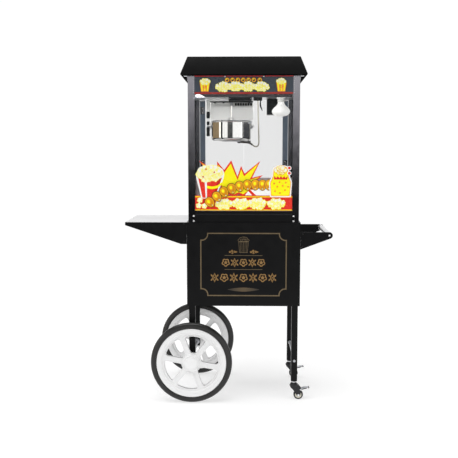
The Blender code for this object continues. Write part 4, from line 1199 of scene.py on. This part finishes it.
def make_drive():
    """Motor cover under the ceiling, the shaft coupling and the stirrer."""
    paint_node("stir_motor_housing", black_paint, 0.0015, 3)
    paint_node("stirrer", polished, 0.0003)
    x, y, z = span("stir_motor_housing")
    # Painted shade: near-black films on the cover's face stand in for the shaded vent slots.
    vents = bmesh.new()
    for k in range(9):
        low = x[0] + 0.012 + k * 0.0095
        plate(vents, [rounded((low, low + 0.0045), (z[0] + 0.0045, z[1] - 0.004), 0.002, 3)], "Y",
              y[0] - 0.0003, y[0] + 0.0004)
    piece("motor_cover_vent_shade", vents, painted_shade_fill, "cart")
    heads = bmesh.new()
    for a in (x[0] + 0.005, x[1] - 0.005):
        screw(heads, (a, y[0], (z[0] + z[1]) / 2), (0, -1, 0), 0.0028, 0.0016)
        screw(heads, (a, y[1], (z[0] + z[1]) / 2), (0, 1, 0), 0.0028, 0.0016)
    screw(heads, (-0.0905, -0.01, CEILING), (0, 0, -1), 0.0045, 0.003)
    screw(heads, (0.095, -0.04, CEILING), (0, 0, -1), 0.004, 0.0026)
    piece("ceiling_screws", heads, zinc, "cart")
    collar = bmesh.new()
    low, high = span("stir_drive_coupling")[2]
    turned(collar, [(0.0034, low), (0.0068, low), (0.0078, low + 0.0008), (0.0078, low + 0.005),
                    (0.007, low + 0.0056),
                    (0.007, low + 0.0064), (0.0078, low + 0.007), (0.0078, high - 0.0004),
                    (0.0034, high - 0.0004)],
           (KETTLE_X, 0, 0), "Z", 36)
    screw(collar, (KETTLE_X, -0.0078, low + 0.003), (0, -1, 0), 0.0018, 0.0008)
    piece("stir_coupling_collar", collar, zinc, "stir_coupling", angle=40,
          stands_for=("stir_drive_coupling",))


LEAD_ROUTE = (
    ((0.0655, 1.389), (0.0655, 1.33), (0.0705, 1.23), (0.0705, 1.183), 26),
    ((0.0705, 1.183), (0.0705, 1.17), (0.0665, 1.162), (0.057, 1.162), 14),
    ((0.057, 1.162), (0.045, 1.162), (0.033, 1.18), (0.019, 1.1815), 16),
    ((0.019, 1.1815), (0.01, 1.1825), (0.002, 1.183), (-0.007, 1.183), 7),
)


def lead_points():
    points = []
    for start, out, back, end, count in LEAD_ROUTE:
        made = interpolate_bezier(*[Vector((x, 0, z)) for x, z in (start, out, back, end)], count)
        points += made[1:] if points else made
    return points


def make_lead():
    """The kettle's supply lead with a gland at the ceiling and a boot under the kettle."""
    points = lead_points()
    bm = bmesh.new()
    sweep(bm, points, 0.0032, 14)
    bmesh.ops.recalc_face_normals(bm, faces=bm.faces)
    bmesh.ops.translate(bm, verts=bm.verts, vec=(MIDDLE_X, 0, 0))
    mesh = bpy.data.meshes.new("kettle_lead_tube")
    bm.to_mesh(mesh)
    bm.free()
    mesh.shade_smooth()
    mesh.set_sharp_from_angle(angle=math.radians(50))
    mesh.materials.append(cord_rubber)
    lead = bpy.data.objects.new("kettle_lead_tube", mesh)
    bpy.context.scene.collection.objects.link(lead)
    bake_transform(lead)
    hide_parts("kettle_lead")

    boot = bmesh.new()
    tail = points[-15:]
    radii = [0.004 + 0.0012 * min(1, k / 6) for k in range(len(tail))]
    sweep(boot, tail, radii, 20)
    x = tail[-1].x
    plate(boot, [rounded((x - 0.012, x + 0.004), (-0.008, 0.008), 0.003)], "Z", 1.179, POT[2][0] - 0.0001)
    piece("kettle_lead_boot", boot, boot_rubber, "kettle", 0.0004, angle=45)

    gland = bmesh.new()
    turned(gland, [(0.0035, 0), (0.0052, 0), (0.0062, 0.003), (0.007, 0.0034), (0.0092, 0.0036),
                   (0.0096, 0.005), (0.0096, 0.012), (0.011, 0.0122), (0.011, 0.015), (0.0035, 0.015)],
           (0.0655, 0, CEILING - 0.0152), "Z", 30)
    block(gland, (0.044, 0.085), (-0.0118, -0.003), (CEILING - 0.016, CEILING - 0.0002))
    piece("lead_gland", gland, black_plastic, "cart", 0.0003, angle=40)
    ring = bmesh.new()
    turned(ring, [(0.0098, 0), (0.0118, 0), (0.012, 0.0006), (0.012, 0.0026), (0.0098, 0.0026)],
           (0.0655, 0, CEILING - 0.01), "Z", 32)
    piece("lead_gland_ring", ring, chrome, "cart", angle=40)
    clip = bmesh.new()
    outline = [(0.077, CEILING), (0.08, CEILING), (0.0795, 1.356), (0.087, 1.329), (0.085, 1.3255),
               (0.0755, 1.344), (0.073, 1.355)]
    plate(clip, [round_corners(outline, 0.002)], "Y", -0.014, -0.012)
    piece("lead_clip", clip, black_plastic, "cart", 0.0004)


def make_ceiling_fittings():
    """The heat lamp and its holder, the wiring box and the slotted baffle behind the kettle."""
    lamp_x = middle("heat_lamp").x
    low, high = span("heat_lamp")[2]
    bulb = bmesh.new()
    profile = [(0, low), (0.012, low + 0.0006), (0.023, low + 0.0026), (0.033, low + 0.0075),
               (0.0392, low + 0.0135),
               (0.042, low + 0.02), (0.0422, low + 0.0245), (0.0405, low + 0.0305), (0.036, low + 0.037),
               (0.029, low + 0.044), (0.0225, low + 0.05), (0.0178, low + 0.056), (0.015, low + 0.062),
               (0.014, low + 0.068), (0, low + 0.068)]
    turned(bulb, profile, (lamp_x, 0, 0), "Z", 72)
    piece("heat_lamp_bulb", bulb, frosted, "cart", angle=50, stands_for=("heat_lamp",))
    holder = bmesh.new()
    turned(holder, [(0.0143, high - 0.0215), (0.0158, high - 0.0215), (0.0162, high - 0.019),
                    (0.0162, high - 0.01),
                    (0.0172, high - 0.009), (0.0172, high - 0.006), (0.02, high - 0.005), (0.02, high),
                    (0.0143, high)], (lamp_x, 0, 0), "Z", 48)
    piece("lamp_holder", holder, ceramic, "cart", angle=40)

    paint_node("wiring_box", black_plastic, 0.0012, 3)
    x, y, z = span("wiring_box")
    lid = bmesh.new()
    plate(lid, [rounded((x[0] + 0.003, x[1] - 0.003), (z[0] + 0.003, z[1] - 0.003), 0.003)], "Y",
          y[0] - 0.0014, y[0] + 0.0002)
    for a in (x[0] + 0.008, x[1] - 0.008):
        for b in (z[0] + 0.008, z[1] - 0.008):
            screw(lid, (a, y[0] - 0.0014, b), (0, -1, 0), 0.0024, 0.0012)
    piece("wiring_box_cover", lid, black_plastic, "cart", 0.0004)

    baffle = bmesh.new()
    slots = []
    for k in range(7):
        low_x = -0.044 + k * 0.0122
        slots.append(rounded((low_x, low_x + 0.0098), (1.359, 1.372), 0.0015, 2))
    outline = rounded((-0.181, 0.043), (1.293, CEILING - 0.0004), 0.003)
    plate(baffle, [outline] + slots, "Y", 0.109, 0.1102)
    piece("kettle_baffle", baffle, sheet_white, "cart", 0.0003)
    # Painted shade: a near-black block behind the baffle's slots stands in for the shade there.
    behind = bmesh.new()
    block(behind, (-0.044, 0.042), (0.111, 0.112), (1.356, 1.376))
    piece("baffle_slot_shade", behind, painted_shade_fill, "cart")


# ---------------------------------------------------------------- printed films


class Print:
    """Films stuck one over another on a face that looks to the front, each a hair further out."""

    STEP = 1.2e-5
    THICK = 2.4e-5

    def __init__(self, name, face, body):
        self.name = name
        self.face = face
        self.body = body
        self.rank = 0
        self.inks = {}

    def film(self, ink, *loops):
        self.rank += 1
        near = self.face - 2e-5 - self.rank * self.STEP
        bm = self.inks.setdefault(ink.name, (bmesh.new(), ink))[0]
        plate(bm, [list(loop) for loop in loops], "Y", near - self.THICK, near)

    def finish(self):
        for key, (bm, ink) in self.inks.items():
            piece(f"{self.name}_{key}", bm, ink, self.body)


def flake_outline(centre, radius, lobes, phase, depth=0.24):
    points = []
    for k in range(lobes * 6):
        angle = math.tau * k / (lobes * 6)
        reach = radius * (1 - depth + depth * abs(math.sin(lobes * (angle - phase) / 2)))
        points.append((centre[0] + reach * math.cos(angle), centre[1] + reach * math.sin(angle)))
    return points


def popped(card, centre, radius, draw, edge):
    """One popped kernel: a yellow edge, a cream body, a white highlight and two browned specks."""
    lobes = draw.choice((5, 6))
    phase = draw.uniform(0, math.tau)
    card.film(edge, flake_outline(centre, radius, lobes, phase))
    inner = (centre[0] + radius * draw.uniform(-0.06, 0.06), centre[1] + radius * 0.06)
    card.film(cream_ink, flake_outline(inner, radius * 0.84, lobes, phase))
    turn = draw.uniform(0.4, 2.4)
    high = (centre[0] + radius * 0.3 * math.cos(turn), centre[1] + radius * 0.3 * math.sin(turn))
    card.film(white_ink, flake_outline(high, radius * 0.48, 4, phase, 0.3))
    for _ in range(2):
        turn = draw.uniform(0, math.tau)
        place = (centre[0] + radius * 0.5 * math.cos(turn), centre[1] + radius * 0.5 * math.sin(turn))
        card.film(speck_ink, flake_outline(place, radius * draw.uniform(0.08, 0.13), 3, turn, 0.3))


def heap(card, centre, size, radius, draw, edge):
    """A cloud of popped kernels that fills an oval of that (width, height)."""
    rows = max(2, round(size[1] / (radius * 1.05)))
    for row in range(rows):
        level = (row / (rows - 1) - 0.5) * 2
        width = size[0] * math.sqrt(max(0.12, 1 - 0.62 * level ** 2))
        count = max(2, round(width / (radius * 1.22)))
        for k in range(count):
            x = centre[0] + (k / (count - 1) - 0.5) * (width - 1.7 * radius) + draw.uniform(-0.18,
                                                                                            0.18) * radius
            z = centre[1] + level * (size[1] / 2 - radius * 0.85) + draw.uniform(-0.18, 0.18) * radius
            popped(card, (x, z), radius * draw.uniform(0.88, 1.12), draw, edge)


def kernel_outline(centre, height, tilt_deg, grow=0.0):
    """An unpopped maize kernel: round at the top, drawn in to a short foot."""
    shape = []
    for k in range(28):
        angle = math.tau * k / 28
        up = math.sin(angle)
        half = 0.4 * math.cos(angle) * (1 + 0.16 * up)
        shape.append(Vector((half * (height + grow * 2), 0.5 * up * (height + grow * 2))))
    turn = Matrix.Rotation(math.radians(tilt_deg), 2)
    return [tuple(Vector(centre) + turn @ p) for p in shape]


def maize_kernel(card, centre, height, tilt_deg):
    """Dark outline, golden skin, a paler face and a small cream foot."""
    turn = Matrix.Rotation(math.radians(tilt_deg), 2)
    card.film(olive_ink, kernel_outline(centre, height, tilt_deg, 0.0026))
    card.film(gold_ink, kernel_outline(centre, height, tilt_deg))
    card.film(amber_ink, kernel_outline(centre, height * 0.76, tilt_deg))
    high = Vector(centre) + turn @ Vector((-0.06 * height, 0.13 * height))
    card.film(gold_ink, kernel_outline(tuple(high), height * 0.52, tilt_deg))
    card.film(yellow_ink, kernel_outline(tuple(high), height * 0.34, tilt_deg))
    foot = Vector(centre) + turn @ Vector((0, -0.37 * height))
    card.film(olive_ink, kernel_outline(tuple(foot), height * 0.2, tilt_deg))
    card.film(cream_ink, kernel_outline(tuple(foot), height * 0.13, tilt_deg))


def scaled(points, base, factor=MM):
    """Points in millimetres from the cabinet's middle and a base level, in metres."""
    return [(x * factor, base + z * factor) for x, z in points]


def striped_carton(card, top, bottom, stripes, base, edge):
    """A tapered carton: top and bottom are (x0, x1, z) in millimetres, stripes (ink, start, end)."""
    outline = [(bottom[0], bottom[2]), (bottom[1], bottom[2]), (top[1], top[2]), (top[0], top[2])]
    loop = scaled(outline, base)
    card.film(edge, offset(loop, wider_side(loop) * 0.003))
    for stripe_ink, start, end in stripes:
        quad = [(row[0] + (row[1] - row[0]) * t, row[2])
                for row, t in ((bottom, start), (bottom, end), (top, end), (top, start))]
        card.film(stripe_ink, scaled(quad, base))


def bars(card, ink, x, levels, base):
    card.film(ink, scaled([(x[0], levels[0]), (x[1], levels[0]), (x[1], levels[1]), (x[0], levels[1])], base))


BURST = [(-118.6, 220.5), (-87.2, 182.5), (-55.4, 225.4), (-27.5, 152.8), (-11.6, 200.8), (4.3, 166.1),
         (74.0, 222.0),
         (38.2, 147.8), (85.5, 159.2), (58.1, 134.4), (38.2, 100.6), (60.6, 66.8), (18.3, 78.3), (-1.6, 64.8),
         (-21.6, 74.8), (-43.9, 64.8), (-71.3, 74.8), (-91.2, 95.6), (-118.1, 120.5), (-200.7, 224.4),
         (-150.5, 193.8), (-118.2, 175.1)]


def make_glass_print():
    """The print on the front pane: popcorn on a red band, a carton, a burst, kernels and a bag."""
    face = span("front_glass")[1][0]
    base = GLASS_Z[0]
    edge = POST_INNER / MM - 0.5
    card = Print("glass_print", face, "cart")
    draw = random.Random(7)
    outer = scaled(BURST, base)
    card.film(red_ink, outer)
    card.film(yellow_ink, offset(outer, -wider_side(outer) * 0.0078))
    bars(card, red_ink, (-edge, edge), (0.2, 68.0), base)
    bars(card, orange_ink, (-edge, edge), (59.0, 66.0), base)
    bars(card, yellow_ink, (-edge, edge), (61.5, 64.0), base)
    bars(card, orange_ink, (-edge, edge), (0.3, 6.0), base)
    bars(card, yellow_ink, (-edge, edge), (2.0, 4.2), base)
    for x in (-88.0, -12.0, 62.0, 145.0):
        heap(card, (x * MM, base + 31 * MM), (0.082, 0.05), 0.013, draw, lemon_ink)

    white = scaled([(-212, 147), (-214, 165), (-200, 194), (-176, 201), (-150, 208), (-121, 201),
                    (-92, 186), (-86, 163), (-91, 140), (-127, 56), (-187, 56)], base)
    card.film(white_ink, round_corners(white, 0.01))
    stripes = ((red_ink, 0.05, 0.3), (white_ink, 0.3, 0.4), (red_ink, 0.4, 1.0),
               (deep_red_ink, 0.86, 1.0))
    striped_carton(card, (-209, -97, 147), (-187, -130, 58), stripes, base, white_ink)
    swoosh = [(-165.9, 112.5), (-141.0, 108.1), (-116.1, 113.5), (-97.2, 128.9), (-100.2, 115.5),
              (-115.6, 101.6), (-141.0, 96.6), (-163.4, 100.6)]
    card.film(yellow_ink, round_corners(scaled(swoosh, base), 0.004))
    heap(card, (-151.5 * MM, base + 165 * MM), (0.118, 0.072), 0.015, draw, butter_ink)
    for x, z in ((-168, 186), (-131, 172), (-181, 152)):
        card.film(deep_red_ink, circle((x * MM, base + z * MM), 0.0036, 14))
    for x, z in ((-196, 47), (-201, 23), (-176, 21)):
        popped(card, (x * MM, base + z * MM), 0.0135, draw, butter_ink)

    swish = [(6, 70), (24, 92), (60, 98), (128, 98), (128, 69), (40, 69)]
    card.film(white_ink, round_corners(scaled(swish, base), 0.004))
    card.film(red_ink, scaled([(12, 98), (30, 94), (56, 69), (38, 69)], base))
    arch = ((-151, 38, 40), (-119, 63, 34), (-87, 84, 26), (-53, 99, 18), (-18, 109, 10), (17, 115, 5),
            (52, 116, 0), (85, 115, -3), (114, 116, -5))
    for x, z, tilt in arch:
        maize_kernel(card, (x * MM, base + z * MM), 0.046, tilt)

    bag = [(122, 66), (206, 66), (211, 128), (200, 156), (196, 192), (184, 198), (150, 198), (134, 188),
           (130, 152), (118, 126)]
    loop = scaled(bag, base)
    card.film(white_ink, round_corners(offset(loop, wider_side(loop) * 0.005), 0.008))
    card.film(orange_ink, round_corners(loop, 0.006))
    card.film(yellow_ink, round_corners(offset(loop, -wider_side(loop) * 0.0028), 0.006))
    zigzag = [(134, 150)] + [(138 + 7 * k, 146 if k % 2 else 156) for k in range(9)] + [(196, 150),
                                                                                        (194, 140),
                                                                                        (136, 140)]
    card.film(red_ink, scaled(zigzag, base))
    for x, z in ((140, 88), (162, 80), (184, 92), (150, 108), (174, 112), (198, 108), (136, 122),
                 (160, 128), (188, 126)):
        card.film(orange_ink, circle((x * MM, base + z * MM), 0.0042, 14))
    heap(card, (164 * MM, base + 182 * MM), (0.062, 0.04), 0.012, draw, gold_ink)
    for x, z in ((203, 191), (203, 168)):
        card.film(white_ink, circle((x * MM, base + z * MM), 0.0095, 20))
        card.film(red_ink, circle((x * MM, base + z * MM), 0.0062, 20))
    card.finish()


def make_sign_print():
    """The print on the header: popcorn in a row, maize kernels above it and a carton on each side."""
    face = span("sign_panel")[1][0]
    base = SIGN_Z[0]
    edge = POST_INNER / MM - 0.5
    card = Print("sign_print", face, "cart")
    draw = random.Random(11)
    bars(card, deep_red_ink, (-edge, edge), (77.0, 80.5), base)
    bars(card, deep_red_ink, (-edge, edge), (0.6, 8.6), base)
    bars(card, brown_ink, (-edge, edge), (1.4, 3.0), base)
    bars(card, brown_ink, (-edge, edge), (5.2, 6.8), base)
    for x in (-73.6, -50.0, -26.1, -2.6, 20.9, 43.9, 69.8):
        card.film(brown_ink, circle((x * MM, base + 62.0 * MM), 0.0128, 24))
        card.film(gold_ink, circle((x * MM, base + 62.0 * MM), 0.0098, 24))
        card.film(brown_ink, circle((x * MM, base + 61.5 * MM), 0.0054, 18))
        card.film(yellow_ink, circle(((x - 1.4) * MM, base + 65.6 * MM), 0.0026, 14))
    for x in (-92.0, -36.0, 20.0, 78.0):
        heap(card, (x * MM, base + 33.0 * MM), (0.068, 0.042), 0.0105, draw, lemon_ink)
    for x in (-172.0, 165.0):
        stripes = [((yellow_ink, orange_ink)[k % 2], k / 5, (k + 1) / 5) for k in range(5)]
        striped_carton(card, (x - 19, x + 19, 47), (x - 14, x + 14, 14), stripes, base, orange_ink)
        heap(card, (x * MM, base + 55.0 * MM), (0.046, 0.028), 0.0088, draw, lemon_ink)
        card.film(red_ink, circle(((x - 1) * MM, base + 31.0 * MM), 0.0058, 18))
        card.film(yellow_ink, flake_outline(((x - 1) * MM, base + 31.0 * MM), 0.0038, 4, 0.3))
    card.finish()


def kernel_pair_flourish(card, x, z):
    """A little group of kernels, drawn solid."""
    for dx, dz, r in ((-13, 0, 5.2), (-3, 4.5, 5.6), (-2, -5, 4.6), (8.5, 0.5, 5.6), (16.5, 0, 3.6)):
        card.film(gold_print, flake_outline((x + dx * MM, z + dz * MM), r * MM, 5, dx))
        card.film(BLACK_INK, circle((x + dx * MM, z + dz * MM), r * 0.3 * MM, 10))


BLACK_INK = surface("ground_black_ink", BLACK, 0.4, grain=1.2e-5, grain_scale=1100, Specular_IOR_Level=0.14)


def line(card, ink, points, width):
    card.film(ink, ribbon(points, width))


def outline_film(card, ink, loop, width):
    """A closed line of that width on the inside of loop."""
    card.film(ink, loop, offset(loop, -wider_side(loop) * width))


def leaf(centre, length, tilt_deg):
    """A pointed leaf, longest along its tilt."""
    turn = Matrix.Rotation(math.radians(tilt_deg), 2)
    side = [Vector((length * (t - 0.5),
                    length * 0.26 * math.sin(math.pi * t))) for t in [k / 8 for k in range(9)]]
    ring = side + [Vector((p.x, -p.y)) for p in side[-2:0:-1]]
    return [tuple(Vector(centre) + turn @ p) for p in ring]


def fleuron(card, x, z, height):
    """A pointed lozenge with a dot in it and a pair of leaves on each side."""
    half = height / 2
    lozenge = [(x, z + half), (x + half * 0.46, z), (x, z - half), (x - half * 0.46, z)]
    outline_film(card, gold_print, round_corners(lozenge, 0.001, 2), 0.004)
    card.film(gold_print, circle((x, z), half * 0.15, 14))
    for side in (-1, 1):
        for up in (-1, 1):
            at = (x + side * half * 0.56, z + up * half * 0.4)
            card.film(gold_print, leaf(at, half * 0.62, side * up * 52))


def popped_badge(card, x, z, radius):
    """A popped kernel drawn as a round, lobed flower with a smaller flower inside."""
    outline_film(card, gold_print, flake_outline((x, z), radius, 5, 0.3, 0.26), 0.0046)
    card.film(gold_print, flake_outline((x, z), radius * 0.42, 5, 0.9, 0.4))


def make_cart_print():
    """The bronze-gold print on the cart: a notched border, a carton, kernels and rows of ornament."""
    card = Print("cart_print", FRONT, "cart")
    half, low, high, notch, jog = 0.1952, 0.486, 0.7752, 0.031, 0.007
    corner = [(-half, low + notch), (-half + jog, low + notch)]
    corner += arc((-half + jog, low + jog), notch - jog, 90, 0, 12)[1:]
    corner += [(-half + notch, low)]
    loop = corner + [(-x, z) for x, z in corner[::-1]]
    mid = (low + high) / 2
    loop += [(x, 2 * mid - z) for x, z in [(-a, b) for a, b in corner]]
    loop += [(x, 2 * mid - z) for x, z in corner[::-1]]
    card.film(pale_gold, loop, offset(loop, -wider_side(loop) * 0.0052))

    top, bottom = (-0.0225, 0.0225, 0.735), (-0.0185, 0.0185, 0.6845)
    quad = [(bottom[0], bottom[2]), (bottom[1], bottom[2]), (top[1], top[2]), (top[0], top[2])]
    outline_film(card, pale_gold, quad, 0.0018)
    for k in range(1, 6):
        t = k / 6
        line(card, pale_gold, [(bottom[0] * (1 - t) + bottom[1] * t, bottom[2]),
                               (top[0] * (1 - t) + top[1] * t, top[2])],
             0.0016)
    crown = [(-0.0225, 0.735), (-0.0275, 0.742), (-0.0205, 0.748), (-0.016, 0.7545), (-0.0085, 0.756),
             (0.0, 0.7585),
             (0.0085, 0.756), (0.016, 0.7545), (0.0205, 0.748), (0.0275, 0.742), (0.0225, 0.735)]
    outline_film(card, pale_gold, round_corners(crown, 0.004, 3), 0.002)
    for x, z in ((-0.01, 0.7425), (0.002, 0.748), (0.012, 0.742)):
        outline_film(card, pale_gold, flake_outline((x, z), 0.0062, 5, x * 200), 0.0015)
    kernel_pair_flourish(card, -0.048, 0.6885)
    kernel_pair_flourish(card, 0.047, 0.6885)
    line(card, pale_gold, [(-0.085, 0.6722), (0.085, 0.6722)], 0.0022)
    line(card, pale_gold, [(-0.085, 0.6085), (0.085, 0.6085)], 0.002)
    for k in range(5):
        x = -0.08 + k * 0.04
        if k % 2:
            fleuron(card, x, 0.64, 0.044)
        else:
            popped_badge(card, x, 0.64, 0.019)
    for k in range(7):
        x = -0.1305 + k * 0.0435
        if k % 2:
            popped_badge(card, x, 0.571, 0.02)
        else:
            fleuron(card, x, 0.571, 0.046)
    lens = [(-0.078, 0.5165), (-0.04, 0.5235), (0, 0.5265), (0.04, 0.5235), (0.078, 0.5165),
            (0.04, 0.5095), (0, 0.5065), (-0.04, 0.5095)]
    card.film(fading_gold, round_corners(lens, 0.012))
    card.finish()


# ---------------------------------------------------------------- floor, light and camera


FLOOR_RADIUS = 2.7
FLOOR_GLOW = 0.6
PHOTO_LENS = 55.5
PHOTO_PLACE = (0.0736, -3.34, 1.1297)
PHOTO_PITCH = 83.9
PHOTO_TURN = 1.31
SUN_POWER = 2.1
SUN_SPREAD = 50


def make_floor():
    bm = bmesh.new()
    bm.faces.new([bm.verts.new((MIDDLE_X + x, y, 0)) for x, y in circle((0, 0), FLOOR_RADIUS, 96)])
    mesh = bpy.data.meshes.new("studio_floor")
    bm.to_mesh(mesh)
    bm.free()
    mesh.materials.append(surface("pale_floor", rgb(182, 182, 182), 0.75, tint=0.005, Specular_IOR_Level=0.1,
                                  Emission_Color=(1, 1, 1, 1), Emission_Strength=FLOOR_GLOW))
    floor = bpy.data.objects.new("studio_floor", mesh)
    bpy.context.scene.collection.objects.link(floor)


def area_light(name, place, target, size, power, colour=(1, 1, 1)):
    data = bpy.data.lights.new(name, "AREA")
    data.shape = "RECTANGLE"
    data.size, data.size_y = size
    data.energy = power
    data.color = colour
    lamp = bpy.data.objects.new(name, data)
    lamp.location = place
    lamp.rotation_euler = (Vector(target) - Vector(place)).to_track_quat("-Z", "Y").to_euler()
    bpy.context.scene.collection.objects.link(lamp)
    return lamp


ROOM_BANDS = (
    (-180, (1.0, 1.0, 1.0)), (-150, (1.0, 1.0, 1.0)), (-146, (0.34, 0.24, 0.13)), (-68, (0.46, 0.33, 0.18)),
    (-60, (1.6, 1.6, 1.58)), (-24, (1.6, 1.6, 1.58)), (-19, (0.05, 0.05, 0.05)), (6, (0.05, 0.05, 0.05)),
    (11, (1.6, 1.6, 1.6)), (68, (1.6, 1.6, 1.6)), (74, (0.07, 0.07, 0.08)), (144, (0.07, 0.07, 0.08)),
    (150, (1.0, 1.0, 1.0)), (180, (1.0, 1.0, 1.0)))
BRIGHTEST = 1.6


def room_light(tree):
    """The room round the object: a white backdrop, two windows in front, and a bright soffit above them."""
    way = tree.nodes.new("ShaderNodeSeparateXYZ")
    tree.links.new(tree.nodes.new("ShaderNodeTexCoord").outputs["Generated"], way.inputs["Vector"])
    forward = tree.nodes.new("ShaderNodeMath")
    forward.operation = "MULTIPLY"
    tree.links.new(way.outputs["Y"], forward.inputs[0])
    forward.inputs[1].default_value = -1
    turn = tree.nodes.new("ShaderNodeMath")
    turn.operation = "ARCTAN2"
    tree.links.new(way.outputs["X"], turn.inputs[0])
    tree.links.new(forward.outputs["Value"], turn.inputs[1])
    bands = tree.nodes.new("ShaderNodeValToRGB")
    tree.links.new(ramp(tree, turn.outputs["Value"], -math.pi, math.pi, 0, 1), bands.inputs["Fac"])
    stops = bands.color_ramp.elements
    for index, (degrees, level) in enumerate(ROOM_BANDS):
        at = (degrees + 180) / 360
        stop = stops[index] if index < 1 else stops.new(at) if index < len(ROOM_BANDS) - 1 else stops[-1]
        stop.position = at
        stop.color = (*[value / BRIGHTEST for value in level], 1)
    up = way.outputs["Z"]
    soffit = blend_colours(tree, ramp(tree, up, 0.045, 0.1, 0, 1), bands.outputs["Color"],
                           (0.8, 0.8, 0.8, 1))
    ceiling = blend_colours(tree, ramp(tree, up, 0.3, 0.5, 0, 1), soffit, (0.1, 0.1, 0.1, 1))
    below = blend_colours(tree, ramp(tree, up, -0.12, -0.04, 0, 1), (0.03, 0.03, 0.03, 1), ceiling)
    backdrop = blend_colours(tree, ramp(tree, up, 0.3, 0.9, 0, 1), (0.68, 0.68, 0.68, 1), (0.3, 0.3, 0.3, 1))
    behind = ramp(tree, way.outputs["Y"], 0.7, 0.85, 0, 1)
    return blend_colours(tree, behind, below, backdrop)


def make_lights():
    """A white room, a soft sun that evens out the floor, and two soft boxes."""
    world = bpy.data.worlds.new("studio")
    world.use_nodes = True
    tree = world.node_tree
    ground = tree.nodes["Background"]
    ground.inputs["Strength"].default_value = BRIGHTEST
    path = tree.nodes.new("ShaderNodeLightPath")
    seen = tuple([1.02 / BRIGHTEST] * 3 + [1])
    tree.links.new(blend_colours(tree, path.outputs["Is Camera Ray"], room_light(tree), seen),
                   ground.inputs["Color"])
    bpy.context.scene.world = world
    aim = (MIDDLE_X, 0, 0.85)
    area_light("left_box", (-3.2, -1.4, 1.9), aim, (0.9, 1.8), 9)
    area_light("right_box", (3.2, -1.4, 1.9), aim, (0.9, 1.8), 7)
    glow = area_light("case_glow", (0.02, -0.15, CEILING - 0.004), (-0.02, 0.11, 1.31), (0.36, 0.03), 0.75)
    glow.visible_camera = False
    glow.visible_glossy = False
    sun = bpy.data.lights.new("soft_sun", "SUN")
    sun.energy = SUN_POWER
    sun.angle = math.radians(SUN_SPREAD)
    lamp = bpy.data.objects.new("soft_sun", sun)
    lamp.rotation_euler = (math.radians(7), math.radians(-8), 0)
    bpy.context.scene.collection.objects.link(lamp)


def make_camera():
    data = bpy.data.cameras.new("photo_view")
    data.lens = PHOTO_LENS
    data.sensor_width = 36
    data.clip_end = 60
    camera = bpy.data.objects.new("photo_view", data)
    camera.location = PHOTO_PLACE
    camera.rotation_euler = (math.radians(PHOTO_PITCH), 0, math.radians(PHOTO_TURN))
    bpy.context.scene.collection.objects.link(camera)
    bpy.context.scene.camera = camera


make_camera()
make_lead()
make_cabinet()
make_rear_door_fittings()
make_cabinet_fixings()
make_handle_ends()
make_wheel("front", -1)
make_wheel("rear", 1)
make_axle_fittings()
make_caster("front")
make_caster("rear")
make_case()
make_rail_seam()
make_tray_plate()
make_drawer_pull()
make_roof()
make_housing()
make_switches()
make_doors()
make_glass_beads()
make_pot()
make_lids()
make_tilt_handle()
make_hanger()
make_drive()
make_ceiling_fittings()
make_glass_print()
make_sign_print()
make_cart_print()
make_floor()
make_lights()
bpy.context.scene.view_settings.view_transform = "Standard"
